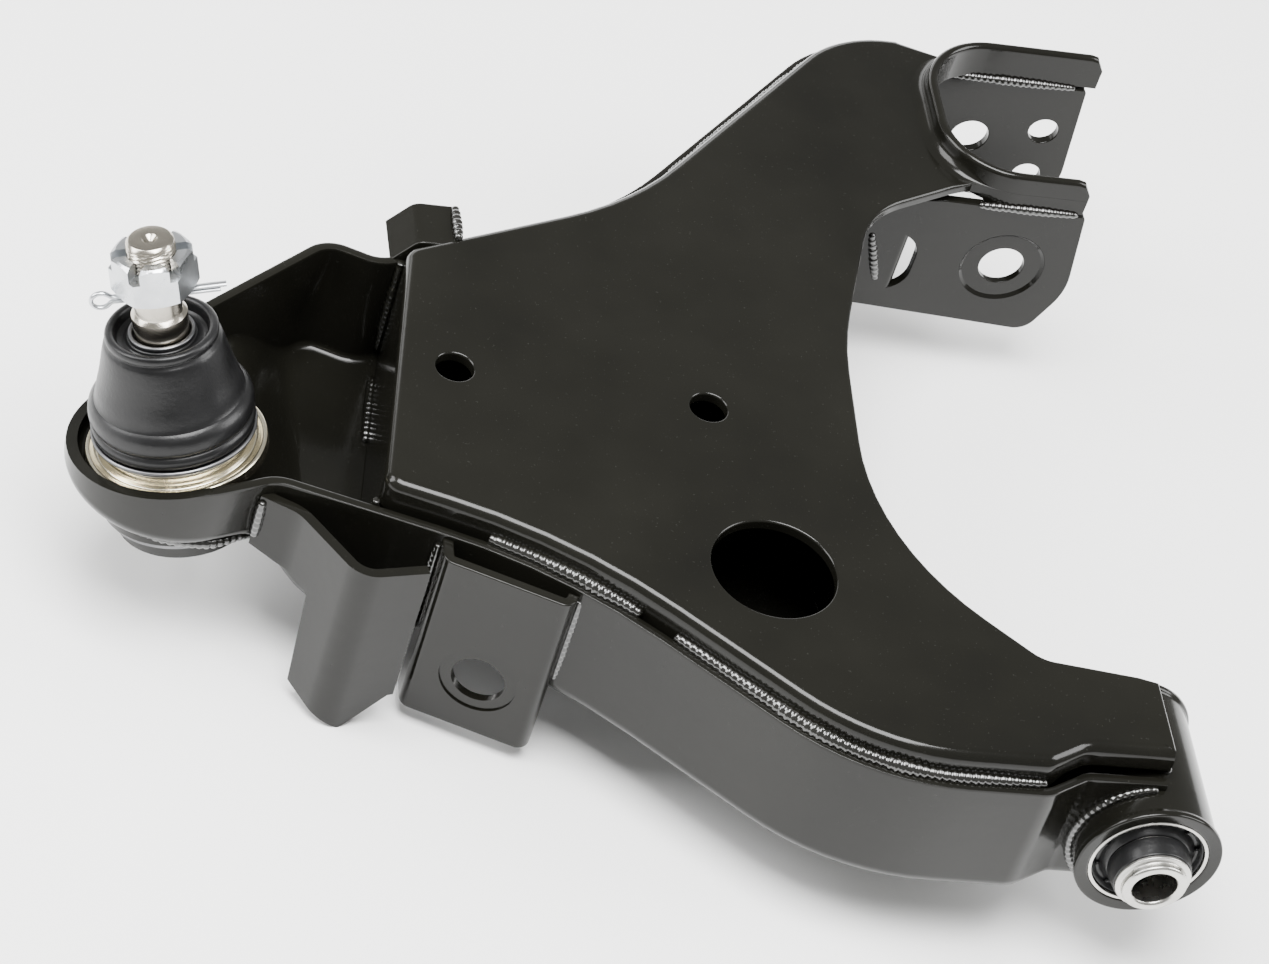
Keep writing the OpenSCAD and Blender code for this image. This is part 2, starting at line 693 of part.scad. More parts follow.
module ball_joint_housing() {
    groove_r = body_r - snap[1];
    mouth_r = sqrt(pow(ball_r + move_gap, 2) - pow(ball_r * seat_wrap, 2));
    neck_out = boot_seat[0] - boot_grip;
    top = boot_seat[1];
    color([0.75, 0.72, 0.6]) turned([[bore_r, body_low], [body_r, body_low],
        [body_r, snap_top - snap[0] - press_gap], [groove_r, snap_top - snap[0] - press_gap],
        [groove_r, snap_top + press_gap], [body_r, snap_top + press_gap],
        [body_r, -flange[1]], [flange[0], -flange[1]], [flange[0], 0], [flange[0] - 1.5, 0],
        [flange[0] - 3, -1.5], [boot_seat[0], -1.5], [boot_seat[0], boot_foot - 0.4],
        [neck_out, boot_foot], [neck_out, top - 1], [neck_out - 1, top], [ball_r + 5, top], [mouth_r, seat_top + 0.5 + press_gap], [mouth_r, seat_top + press_gap],
        [bore_r, seat_top + press_gap]]);
}

module housing_retaining_ring() {
    r0 = body_r - snap[1] + press_gap;
    color([0.35, 0.35, 0.36]) at_ball() difference() {
        translate([0, 0, snap_top - snap[0]]) cylinder(r = body_r + 3, h = snap[0]);
        translate([0, 0, snap_top - snap[0] - 1]) cylinder(r = r0, h = snap[0] + 2);
        translate([body_r - 2, 0, snap_top]) cube([14, 9, 3 * snap[0]], center = true);
    }
}

module seat_block(z0, z1) {
    color([0.9, 0.9, 0.85]) at_ball() difference() {
        translate([0, 0, z0]) cylinder(r = seat_out, h = z1 - z0);
        translate([0, 0, -ball_depth]) sphere(r = ball_r + ball_gap);
    }
}

module ball_seat_upper() {
    seat_block(-ball_depth + 0.1, seat_top);
}

module ball_seat_lower() {
    seat_block(seat_low, -ball_depth - 0.1);
}

module preload_washer() {
    color([0.4, 0.4, 0.42]) turned([[5, washer_low], [seat_out - 1, washer_low],
        [seat_out - 1, washer_low + closing[1]], [5, washer_low + closing[1]]]);
}

module housing_cover() {
    color([0.75, 0.72, 0.6]) at_ball() difference() {
        translate([0, 0, cover_low]) cylinder(r = bore_r - press_gap, h = closing[0]);
        translate([0, 0, cover_low - 1]) cylinder(r1 = 9, r2 = 7, h = 2);
    }
}

// --- boot ------------------------------------------------------------------------------

boot_wall = boot_bulge[1];
grip_r = boot_seat[0] - boot_grip + move_gap;
foot_r = boot_bulge[0] - 2 * boot_wire[0] - 0.1;

module dust_boot() {
    top = boot_lip[1];
    hold = seat_r + move_gap;
    color([0.1, 0.1, 0.1]) turned([[grip_r, boot_foot + 0.5], [foot_r, boot_foot + 0.5],
        [foot_r, boot_foot + 3.2], [boot_bulge[0] - 0.3, boot_foot + 3.5], [boot_bulge[0], 10], [boot_bulge[0] - 0.8, 15], [boot_bulge[0] - 4.5, 24],
        [boot_lip[0] + 3, top - 12], [boot_lip[0], top - 3], [boot_lip[0] - 1, top],
        [boot_lip[0] - 4, top], [boot_lip[0] - 5, top - 3], [hold, top - 4], [hold, top - 9],
        [boot_lip[0] + 3 - 2 * boot_wall, top - 12.5], [boot_bulge[0] - 5 - boot_wall, 23],
        [boot_bulge[0] - 1 - boot_wall, 14], [boot_bulge[0] - 1 - boot_wall, 11.5],
        [grip_r, 10.5]]);
}

module wire_ring(r, z, wire) {
    at_ball() translate([0, 0, z]) rotate_extrude() translate([r, 0]) circle(r = wire, $fn = 24);
}

module boot_lower_ring() {
    color([0.3, 0.3, 0.3]) wire_ring(foot_r + boot_wire[0] + 0.1, boot_foot + 1.9, boot_wire[0]);
}

module boot_upper_ring() {
    color([0.3, 0.3, 0.3]) wire_ring(seat_r + boot_wire[1] + 2 * move_gap, boot_lip[1] - 2.6, boot_wire[1]);
}

// --- stud, nut and pin ------------------------------------------------------------------

ring_low = boot_lip[1] + 0.5;
ring_high = ring_low + stud_ring[1];
nut_top = stud_len - nut_drop;
nut_low = nut_top - nut_crown[1] - nut_hex[1];

module ball_stud() {
    flat_z = ball_r * cos(asin(neck_r / ball_r)) - ball_depth;
    color([0.8, 0.8, 0.78]) difference() {
        union() {
            at_ball() translate([0, 0, -ball_depth]) sphere(r = ball_r);
            turned([[0, flat_z - 3], [neck_r, flat_z - 3], [neck_r, flat_z + 5], [seat_r, flat_z + 18],
                [seat_r, ring_low], [stud_ring[0], ring_low], [stud_ring[0], ring_high],
                [shank_r, ring_high + 1], [shank_r, nut_low - 1.5], [thread_r, nut_low - 0.5],
                [thread_r, stud_len - stud_chamfer], [thread_r - stud_chamfer, stud_len],
                [1.6, stud_len], [0, stud_len - 2]]);
        }
        at_ball() translate([0, 0, stud_len - cross_hole[0]]) rotate([0, 90, 0])
            cylinder(r = cross_hole[1], h = 60, center = true);
    }
}

module castle_nut() {
    hex_r = nut_hex[0] / 2 / cos(30);
    color([0.78, 0.8, 0.82]) at_ball() difference() {
        union() {
            intersection() {
                translate([0, 0, nut_low]) cylinder(r = hex_r, h = nut_hex[1], $fn = 6);
                translate([0, 0, nut_low]) rotate_extrude() polygon([[0, 0], [hex_r - 1.2, 0],
                    [hex_r + 0.1, 1], [hex_r + 0.1, nut_hex[1] - 1], [hex_r - 1.2, nut_hex[1]],
                    [0, nut_hex[1]]]);
            }
            translate([0, 0, nut_low + nut_hex[1]]) cylinder(r = nut_crown[0] + 1, h = nut_crown[1]);
        }
        translate([0, 0, nut_low - 1]) cylinder(r = thread_r + thread_gap, h = 60);
        for (a = [0:60:120])
            rotate([0, 0, a]) translate([-30, -nut_slot[0] / 2, nut_top - nut_slot[1]])
                cube([60, nut_slot[0], nut_slot[1] + 1]);
    }
}

pin_r = cross_hole[1] - pin[0];
module cotter_pin() {
    back = -nut_hex[0] / 2 - 4;
    color([0.7, 0.72, 0.75]) at_ball() translate([0, 0, stud_len - cross_hole[0]]) {
        rotate([0, 90, 0]) translate([0, 0, back]) cylinder(r = pin_r, h = pin[1]);
        translate([back - pin_eye - pin_r * 0.4, 0, 0]) rotate([90, 0, 0]) rotate_extrude()
            translate([pin_eye, 0]) circle(r = pin_r * 0.6, $fn = 24);
    }
}

lower_pan();
top_plate();
fork_near_plate();
fork_far_plate();
bush_tube();
bush_outer_sleeve();
bush_rubber();
bush_inner_sleeve();
shock_bracket();
shock_gusset();
stop_tab();
ball_joint_collar();
ball_joint_housing();
housing_retaining_ring();
ball_seat_upper();
ball_seat_lower();
preload_washer();
housing_cover();
dust_boot();
boot_lower_ring();
boot_upper_ring();
ball_stud();
castle_nut();
cotter_pin();
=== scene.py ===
from math import acos, asin, atan2, ceil, cos, degrees, pi, radians, sin, sqrt, tan

import bmesh
import bpy
from mathutils import Matrix, Vector


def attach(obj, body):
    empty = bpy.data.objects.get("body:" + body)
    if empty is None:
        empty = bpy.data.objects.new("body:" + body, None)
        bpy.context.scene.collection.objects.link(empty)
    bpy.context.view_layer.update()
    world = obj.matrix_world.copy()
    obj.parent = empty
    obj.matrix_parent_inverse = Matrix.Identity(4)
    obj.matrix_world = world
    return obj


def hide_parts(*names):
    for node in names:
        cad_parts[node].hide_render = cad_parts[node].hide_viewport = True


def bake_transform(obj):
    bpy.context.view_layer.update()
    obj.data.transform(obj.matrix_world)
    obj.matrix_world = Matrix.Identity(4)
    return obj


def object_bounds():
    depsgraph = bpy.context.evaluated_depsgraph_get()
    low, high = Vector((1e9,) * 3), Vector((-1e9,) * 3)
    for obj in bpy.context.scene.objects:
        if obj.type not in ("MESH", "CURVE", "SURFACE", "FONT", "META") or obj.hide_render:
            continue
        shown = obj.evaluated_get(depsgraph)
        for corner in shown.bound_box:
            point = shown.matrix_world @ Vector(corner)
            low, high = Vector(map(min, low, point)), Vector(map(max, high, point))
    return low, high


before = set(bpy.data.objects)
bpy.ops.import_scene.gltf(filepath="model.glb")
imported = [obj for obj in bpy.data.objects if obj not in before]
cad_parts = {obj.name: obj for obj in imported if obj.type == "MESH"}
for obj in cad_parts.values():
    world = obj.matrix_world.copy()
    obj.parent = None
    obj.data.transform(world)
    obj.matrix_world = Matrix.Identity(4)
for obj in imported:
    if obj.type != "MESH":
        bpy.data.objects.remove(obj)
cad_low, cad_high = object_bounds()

# --- Tray --------------------------------------------------------------------------------
# The lower half of the boxed arm: one deep pressing of 4 mm steel, with a floor, a bent-up
# wall all round and a shallow nose for the ball joint. It is welded to the top plate and
# the fork, and the finished arm is dipped in gloss black paint.

MM = 0.001
ball_xy = (-347.6, 151.5)
ball_z = 18.0
fork_y, fork_far_y = 309.3, 392.6
sheet = 4.0
floor_z, rim_z, plate_z = -26.0, 29.0, 39.5
nose_r, nose_floor, nose_rim = 38.5, 0.0, 3.0
ramp = (ball_xy[0] + 24, ball_xy[0] + 56)


def unit(v):
    n = sqrt(v[0] ** 2 + v[1] ** 2)
    return (v[0] / n, v[1] / n)


def arc(c, r, a, b):
    """Points of an arc round c from angle a to angle b, in degrees."""
    n = max(2, ceil(abs(b - a) / 5))
    return [(c[0] + r * cos(radians(a + (b - a) * i / n)), c[1] + r * sin(radians(a + (b - a) * i / n)))
            for i in range(n + 1)]


def rounded(a, p, b, r):
    """The corner p between a and b as an arc of radius r."""
    u, v = unit((a[0] - p[0], a[1] - p[1])), unit((b[0] - p[0], b[1] - p[1]))
    half = acos(max(-1, min(1, u[0] * v[0] + u[1] * v[1]))) / 2
    m = unit((u[0] + v[0], u[1] + v[1]))
    c = (p[0] + m[0] * r / sin(half), p[1] + m[1] * r / sin(half))
    s = (p[0] + u[0] * r / tan(half) - c[0], p[1] + u[1] * r / tan(half) - c[1])
    e = (p[0] + v[0] * r / tan(half) - c[0], p[1] + v[1] * r / tan(half) - c[1])
    a0 = degrees(atan2(s[1], s[0]))
    full = degrees(atan2(e[1], e[0])) - a0
    full += -360 if full > 180 else 360 if full < -180 else 0
    return arc(c, r, a0, a0 + full)


def bent(c):
    """An open path through (x, y, bend radius) corners."""
    out = [c[0][:2]]
    for i in range(1, len(c) - 1):
        out += rounded(c[i - 1], c[i], c[i + 1], c[i][2])
    return out + [c[-1][:2]]


def inset(path, d, closed=False):
    """The path moved to its right by d, with mitred corners. d may be one number or a list."""
    n, out = len(path), []
    for i, p in enumerate(path):
        before = path[i - 1] if i or closed else None
        after = path[(i + 1) % n] if i < n - 1 or closed else None
        ways = [unit((p[0] - before[0], p[1] - before[1]))] if before else []
        ways += [unit((after[0] - p[0], after[1] - p[1]))] if after else []
        sides = [(w[1], -w[0]) for w in ways]
        if len(sides) == 1:
            s = sides[0]
        else:
            dot = sides[0][0] * sides[1][0] + sides[0][1] * sides[1][1]
            mitre = max(0.3, 1 + dot)
            s = ((sides[0][0] + sides[1][0]) / mitre, (sides[0][1] + sides[1][1]) / mitre)
        k = d[i] if isinstance(d, list) else d
        out.append((p[0] + s[0] * k, p[1] + s[1] * k))
    return out


def finer(path, longest):
    """The path with points added so that no step is longer than that."""
    out = [path[0]]
    for a, b in zip(path, path[1:]):
        n = max(1, ceil(sqrt((b[0] - a[0]) ** 2 + (b[1] - a[1]) ** 2) / longest))
        out += [(a[0] + (b[0] - a[0]) * i / n, a[1] + (b[1] - a[1]) * i / n) for i in range(1, n + 1)]
    return out


def touch(p, side):
    """Angle on the nose circle where the line from p touches it."""
    d = (p[0] - ball_xy[0], p[1] - ball_xy[1])
    return degrees(atan2(d[1], d[0])) + side * degrees(acos(nose_r / sqrt(d[0] ** 2 + d[1] ** 2)))


def from_ball(x, y, r=0.0):
    return (ball_xy[0] + x, ball_xy[1] + y, r)


waist, cheek = from_ball(33.6, -28.2, 12), from_ball(59.6, 102.5, 14)
turn_in, turn_out = touch(waist, -1), touch(cheek, 1) - 360
nose = arc(ball_xy, nose_r, turn_in, turn_out)
front_wall = bent([(0, 12), (-29, 12, 8), (-45, 3.2, 14), (-113, 3.2, 100), from_ball(132.5, -59.4, 215),
                   waist, nose[0]])
bay_corner = (-93, fork_y - 94.3, 150)
bay_end = (bay_corner[0] + 94.3 * tan(radians(16.2)), fork_y - 0.2)
rear_corners = [nose[-1], cheek, from_ball(80, 94, 12), (-172, fork_y - 21.5, 130),
                (-71, fork_far_y + 12, 55)]
inner_corners = [bay_corner, (-98, 110, 110), (-42, 58, 15)]
rear_wall = bent(rear_corners + [(-42, fork_far_y + 12)])
end_and_bay = bent([(-42, fork_far_y + 12)] + [(-42, fork_y, 3), bay_end + (8,)] + inner_corners + [(0, 53)])
outline = finer(front_wall + nose[1:-1] + rear_wall + end_and_bay[1:], 12)


def mesh_object(name, verts, faces):
    """A new object from vertices in millimetres, with its doubles merged."""
    mesh = bpy.data.meshes.new(name)
    mesh.from_pydata([[c * MM for c in v] for v in verts], [], faces)
    bm = bmesh.new()
    bm.from_mesh(mesh)
    bmesh.ops.remove_doubles(bm, verts=bm.verts, dist=1e-6)
    bm.to_mesh(mesh)
    bm.free()
    obj = bpy.data.objects.new(name, mesh)
    bpy.context.scene.collection.objects.link(obj)
    return obj


def skin(rings, round_path=False, round_ring=False, caps=False):
    """Vertices and faces through rings of points that run side by side."""
    n, m = len(rings), len(rings[0])
    verts = [p for ring in rings for p in ring]
    faces = []
    for i in range(n if round_path else n - 1):
        for j in range(m if round_ring else m - 1):
            a, b = i, (i + 1) % n
            c, d = j, (j + 1) % m
            faces.append((a * m + c, a * m + d, b * m + d, b * m + c))
    if caps:
        faces += [tuple(range(m - 1, -1, -1)), tuple(range((n - 1) * m, n * m))]
    return verts, faces


def outward(obj):
    bm = bmesh.new()
    bm.from_mesh(obj.data)
    bmesh.ops.recalc_face_normals(bm, faces=bm.faces)
    bm.to_mesh(obj.data)
    bm.free()
    return obj


def settled(obj):
    """The object with its modifiers made part of its mesh."""
    bpy.context.view_layer.update()
    mesh = bpy.data.meshes.new_from_object(obj.evaluated_get(bpy.context.evaluated_depsgraph_get()))
    obj.modifiers.clear()
    obj.data = mesh
    return obj


def carve(obj, *cutters, how="DIFFERENCE"):
    """Cuts the cutters out of obj (or joins or keeps what is shared) and removes them."""
    for cutter in cutters:
        mod = obj.modifiers.new("carve", "BOOLEAN")
        mod.operation, mod.solver, mod.object = how, "EXACT", cutter
    settled(obj)
    for cutter in cutters:
        bpy.data.objects.remove(cutter)
    return obj


def rounding(obj, width, angle=38, segments=2):
    """Breaks the sharp edges of obj by width, in millimetres."""
    mod = obj.modifiers.new("broken edges", "BEVEL")
    mod.width, mod.segments, mod.limit_method = width * MM, segments, "ANGLE"
    mod.angle_limit, mod.harden_normals = radians(angle), False
    mod.use_clamp_overlap = True
    return settled(obj)


def smooth(obj, angle=35):
    """Smooth shading with creases kept, and flat faces kept flat."""
    for p in obj.data.polygons:
        p.use_smooth = True
    obj.data.set_sharp_from_angle(angle=radians(angle))
    mod = obj.modifiers.new("even shading", "WEIGHTED_NORMAL")
    mod.keep_sharp, mod.weight = True, 80
    return settled(obj)


def cylinder(radius, z0, z1, place=Matrix.Identity(4), n=96):
    """A closed cylinder in millimetres, for cutting."""
    rings = [[tuple(place @ Vector((radius * cos(2 * pi * i / n), radius * sin(2 * pi * i / n), z)))
              for i in range(n)] for z in (z0, z1)]
    return outward(mesh_object("cutter", *skin(rings, round_ring=True, caps=True)))


def block(low, high, place=Matrix.Identity(4)):
    """A closed box in millimetres, for cutting."""
    rings = [[tuple(place @ Vector((x, y, z))) for x, y in
              ((low[0], low[1]), (high[0], low[1]), (high[0], high[1]), (low[0], high[1]))]
             for z in (low[2], high[2])]
    return outward(mesh_object("cutter", *skin(rings, round_ring=True, caps=True)))


# The ball joint's own axes: its flange is the zero plane and its stud points along +Z
leaning = (Matrix.Translation((ball_xy[0], ball_xy[1], ball_z))
           @ Matrix.Rotation(radians(-8.5), 4, "X") @ Matrix.Rotation(radians(-15.4), 4, "Y"))
# The pivot's own axes: +Z runs along the pivot axis from the bush towards the fork
pivot = Matrix.Rotation(radians(-90), 4, "X")


def node_material(name):
    mat = bpy.data.materials.new(name)
    mat.use_nodes = True
    return mat, mat.node_tree, mat.node_tree.nodes["Principled BSDF"]


def node(tree, kind, **values):
    """A node with its properties and unlinked inputs set."""
    n = tree.nodes.new(kind)
    for key, value in values.items():
        if key in n.inputs:
            n.inputs[key].default_value = value
        else:
            setattr(n, key, value)
    return n


def ramp_node(tree, source, stops):
    n = tree.nodes.new("ShaderNodeValToRGB")
    while len(n.color_ramp.elements) < len(stops):
        n.color_ramp.elements.new(0.5)
    for element, (at, value) in zip(n.color_ramp.elements, stops):
        element.position = at
        element.color = (*value, 1) if isinstance(value, tuple) else (value, value, value, 1)
    tree.links.new(source, n.inputs["Fac"])
    return n


def clouds(tree, *kinds):
    """Noise on the piece's own coordinates, one for each (scale, detail, roughness)."""
    place = node(tree, "ShaderNodeTexCoord")
    made = []
    for scale, detail, rough in kinds:
        made.append(node(tree, "ShaderNodeTexNoise", Scale=scale, Detail=detail, Roughness=rough))
        tree.links.new(place.outputs["Object"], made[-1].inputs["Vector"])
    return [n.outputs["Fac"] for n in made]


def bumps(tree, shader, *layers):
    """Bumps laid over each other, one for each (height, strength, distance)."""
    under = None
    for height, strength, distance in layers:
        bump = node(tree, "ShaderNodeBump", Strength=strength, Distance=distance)
        tree.links.new(height, bump.inputs["Height"])
        if under is not None:
            tree.links.new(under, bump.inputs["Normal"])
        under = bump.outputs["Normal"]
    tree.links.new(under, shader.inputs["Normal"])


# Gloss black dip paint: a slight orange peel, faint clouding in its gloss, and thin greyish
# scuffs where sheet edges rub in handling
paint, tree, shader = node_material("gloss_black_paint")
cloud, fine, dust = clouds(tree, (14.0, 3.0, 0.55), (260.0, 2.0, 0.5), (900.0, 1.0, 0.6))
deep_black, soft_black = (0.0042, 0.0041, 0.0032), (0.0068, 0.0066, 0.0050)
tint = ramp_node(tree, cloud, [(0.3, deep_black), (0.7, soft_black)])
specks = ramp_node(tree, dust, [(0.72, 0.0), (0.78, 1.0)])
mix = node(tree, "ShaderNodeMix", data_type="RGBA")
tree.links.new(specks.outputs["Color"], mix.inputs["Factor"])
tree.links.new(tint.outputs["Color"], mix.inputs["A"])
mix.inputs["B"].default_value = (0.013, 0.013, 0.011, 1)
tree.links.new(mix.outputs["Result"], shader.inputs["Base Color"])
gloss = ramp_node(tree, cloud, [(0.25, 0.13), (0.75, 0.21)])
tree.links.new(gloss.outputs["Color"], shader.inputs["Roughness"])
bumps(tree, shader, (cloud, 0.12, 0.004), (fine, 0.10, 0.0004))
shader.inputs["Specular IOR Level"].default_value = 0.18
shader.inputs["Coat Weight"].default_value = 0.12
shader.inputs["Coat Roughness"].default_value = 0.08


def painted(obj, body, *nodes):
    """Gives a finished piece the paint, its body and the CAD nodes it stands for."""
    obj.data.materials.clear()
    obj.data.materials.append(paint)
    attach(obj, body)
    if nodes:
        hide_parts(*nodes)
    return obj


# The wall's section, as (distance in from the outer face, height): the underside's bend, the
# outer face, the rounded rim, the inner face and the inside of the bend
bend = 7.0
section = ([(bend - bend * sin(radians(a)), floor_z + bend - bend * cos(radians(a)))
            for a in range(0, 91, 15)]
           + [(0.0, rim_z - 1.2), (0.35, rim_z - 0.35), (1.2, rim_z), (sheet - 1.2, rim_z),
              (sheet - 0.35, rim_z - 0.35), (sheet, rim_z - 1.2)]
           + [(bend - (bend - sheet) * cos(radians(a)), floor_z + bend - (bend - sheet) * sin(radians(a)))
              for a in range(0, 91, 15)])
section[-1] = (bend, floor_z + sheet)
levels = [(inset(outline, d), z) for d, z in section]
rings = [[(level[i][0], level[i][1], z) for level, z in levels] for i in range(len(outline))]
verts, faces = skin(rings)
m = len(section)
faces.append(tuple(i * m for i in range(len(outline))))
faces.append(tuple(i * m + m - 1 for i in reversed(range(len(outline)))))
faces.append(tuple(range(m)) + tuple((len(outline) - 1) * m + j for j in reversed(range(m))))
tray = outward(mesh_object("lower_pan_skin", verts, faces))


def floor_at(x):
    """Height of the floor's underside at x: level in the nose, a soft ramp, then level again."""
    t = min(1, max(0, (x - ramp[0]) / (ramp[1] - ramp[0])))
    return nose_floor + (floor_z - nose_floor) * t * t * (3 - 2 * t)


bm = bmesh.new()
bm.from_mesh(tray.data)
for i in range(17):
    x = (ramp[0] + (ramp[1] - ramp[0]) * i / 16) * MM
    bmesh.ops.bisect_plane(bm, geom=bm.verts[:] + bm.edges[:] + bm.faces[:], plane_co=(x, 0, 0),
                           plane_no=(1, 0, 0), dist=1e-7)
for v in bm.verts:
    if v.co.z < (floor_z + bend + 0.05) * MM:
        v.co.z += (floor_at(v.co.x / MM) - floor_z) * MM
bm.to_mesh(tray.data)
bm.free()
tube_r, collar_r, gap = 26.0, 30.0, 0.2
carve(tray, cylinder(tube_r + gap, -20, 84, pivot), cylinder(collar_r + gap, -80, nose_rim, leaning),
      cylinder(nose_r + 10, nose_rim, 80, leaning),
      block((-64 - gap, fork_y - gap, -40), (0, fork_y + sheet + gap, 80)),
      block((-64 - gap, fork_far_y - sheet - gap, -40), (0, fork_far_y + gap, 80)))
painted(smooth(tray), "arm", "lower_pan")

# --- Top plate ---------------------------------------------------------------------------
# The upper half of the box: a 4 mm pressing laid on the tray. Its front, rear and outboard
# edges are bent down into the tray, its inner edge lies flush with the tray's inner wall,
# and three holes are punched through it.

ledge = 6.0
skirt_depth, end_depth, flange_depth = 14.5, 13.2, 60.5
line_low, line_high = from_ball(68.5, -40)[:2], from_ball(88.5, 92)[:2]


def past_line(p):
    """How far p lies inboard of the plate's outboard edge line."""
    w = unit((line_high[0] - line_low[0], line_high[1] - line_low[1]))
    return (p[0] - line_low[0]) * w[1] - (p[1] - line_low[1]) * w[0]


def crossing(path):
    """Where the path crosses the plate's outboard edge line."""
    for a, b in zip(path, path[1:]):
        da, db = past_line(a), past_line(b)
        if da * db < 0:
            t = da / (da - db)
            return (a[0] + (b[0] - a[0]) * t, a[1] + (b[1] - a[1]) * t)


front_edge = inset(finer(front_wall, 8), ledge)
rear_edge = inset(finer(rear_wall, 8), ledge)
low_end, high_end = crossing(front_edge), crossing(rear_edge)
front_kept = [p for p in front_edge if past_line(p) > 9]
rear_kept = [p for p in rear_edge if past_line(p) > 9 and p[0] < -44]
front_kept[0] = (1.5, 18.0)
corner_low = rounded(front_kept[-1], low_end, high_end, 7)
corner_high = rounded(low_end, high_end, rear_kept[0], 7)
notch_near, notch_far, notch_x, notch_bend = fork_y + sheet, fork_far_y - sheet, -32.5, 28
notch = bent([(24, notch_near), (notch_x, notch_near, notch_bend), (notch_x, notch_far, notch_bend),
              (45, notch_far)])
notch_foot = [p for p in inset(finer(notch, 4), -5.5) if p[0] < -22]
inner_edge = [(-33, fork_y + 1), (bay_end[0] - 6, fork_y - 19, 40)] + inner_corners + [(1.5, 52)]
inner_edge = finer(bent(inner_edge), 8)
inner_edge = inset(inner_edge, -1.0)
inner_edge[-1] = (1.5, 52.0)
# Each point of the edge is (x, y, bend radius, depth of the turned-down edge)
edge = []
for p in front_kept:
    edge.append((*p, 4.5, skirt_depth if p[0] < -42 else 9.8))
for p in corner_low:
    edge.append((*p, 4.5, skirt_depth))
edge.append((corner_low[-1][0] + 0.02, corner_low[-1][1] + 0.05, 4.5, flange_depth))
edge.append((corner_high[0][0] - 0.02, corner_high[0][1] - 0.05, 4.5, flange_depth))
for p in corner_high + rear_kept:
    edge.append((*p, 4.5, skirt_depth))
edge.append((-42.0, fork_far_y + 6, 4.5, skirt_depth))
edge.append((-40.0, fork_far_y + 4.5, 4.0, 4.6))
for p in reversed(notch_foot):
    edge.append((*p, 0.6, 4.4))
for p in inner_edge:
    edge.append((*p, 1.6, 4.4))
# The end over the bush is bent down on to the tube
edge += [(1.5, y, 1.6, end_depth) for y in (49.5, 35.0, 20.0)]
clean = [edge[0]]
for e in edge[1:]:
    if sqrt((e[0] - clean[-1][0]) ** 2 + (e[1] - clean[-1][1]) ** 2) > 0.04:
        clean.append(e)
edge = clean
path = [(e[0], e[1]) for e in edge]
rings = []
for a in (90, 72, 54, 36, 18, 0):
    shift = inset(path, [e[2] * (1 - cos(radians(a))) for e in edge], closed=True)
    rings.append([(q[0], q[1], plate_z - e[2] * (1 - sin(radians(a)))) for q, e in zip(shift, edge)])
foot = [plate_z - e[3] for e in edge]
rings.append([(q[0], q[1], z + 0.6) for q, z in zip(path, foot)])
rings.append([(q[0], q[1], z) for q, z in zip(inset(path, 0.6, closed=True), foot)])
rings.append([(q[0], q[1], z) for q, z in zip(inset(path, sheet - 0.4, closed=True), foot)])
rings.append([(q[0], q[1], plate_z - sheet) for q in inset(path, sheet, closed=True)])
verts, faces = skin(rings, round_ring=True)
faces.append(tuple(reversed(range(len(edge)))))
faces.append(tuple(9 * len(edge) + i for i in range(len(edge))))
plate = outward(mesh_object("top_plate_skin", verts, faces))
holes = [(-137.7, 91.8, 23.3), (-247.2, 179.8, 7.1), (-151.8, 171.3, 7.1)]
carve(plate, *[cylinder(r, 0, 60, Matrix.Translation((x, y, 0))) for x, y, r in holes],
      cylinder(tube_r + gap, -20, 84, pivot))
# The holes' rims are rolled over a little by the punch
bm = bmesh.new()
bm.from_mesh(plate.data)
rims = []
for x, y, r in holes:
    rims += [e for e in bm.edges if all(
        abs(v.co.z / MM - plate_z) < 0.02
        and abs(sqrt((v.co.x / MM - x) ** 2 + (v.co.y / MM - y) ** 2) - r) < 0.1
        for v in e.verts)]
bmesh.ops.bevel(bm, geom=rims, offset=1.0 * MM, segments=3, profile=0.5, affect="EDGES")
bm.to_mesh(plate.data)
bm.free()

# The lip round the fork's notch: the plate turns up, stands 9 mm proud and is rounded on top.
# Past the plate it runs on as the two tongues over the fork plates
lip_top, lip_foot = plate_z + 9, 32.4


def lip_section(wide):
    """(distance from the notch's face, height) round the lip; wide is the foot's fillet."""
    top = [(2.0 - 2.0 * cos(radians(a)), lip_top - 2.0 + 2.0 * sin(radians(a))) for a in range(0, 181, 20)]
    r = max(0.05, wide)
    fillet = [(sheet + r - r * cos(radians(a)), plate_z + 0.02 + r - r * sin(radians(a)))
              for a in range(0, 91, 18)]
    toe = plate_z - sheet if wide > 1 else lip_foot
    return [(0.0, lip_foot + 0.6)] + top + fillet + [(sheet + r, toe), (sheet, toe), (sheet, lip_foot + 0.6),
                                                     (sheet - 0.6, lip_foot), (0.6, lip_foot)]


line = finer(notch, 3)
wides = []
for p in line:
    t = min(1, max(0, (-14 - p[0]) / 12))
    wides.append(5.0 * t * t * (3 - 2 * t))
sections = [lip_section(w) for w in wides]
columns = []
for j in range(len(sections[0])):
    moved = inset(line, [-s[j][0] for s in sections])
    columns.append([(q[0], q[1], s[j][1]) for q, s in zip(moved, sections)])
rings = [[column[i] for column in columns] for i in range(len(line))]
# The tongues' tips are rounded off upwards
for ring, reach in ((rings, 24), (rings, 45)):
    for one in ring:
        for j, (x, y, z) in enumerate(one):
            past = x - (reach - 6)
            near = (y < 350) == (reach == 24)
            if near and 0 < past <= 6.2 and z > lip_top - 7:
                drop = 6 - sqrt(max(0, 36 - past * past))
                one[j] = (x, y, max(lip_top - 7, z - drop * (z - lip_top + 7) / 7))
lip = outward(mesh_object("notch_lip", *skin(rings, round_ring=True, caps=True)))
rounding(lip, 0.5, 50)
plate.data.materials.clear()
smooth(plate)
painted(smooth(lip), "arm")
painted(plate, "arm", "top_plate")

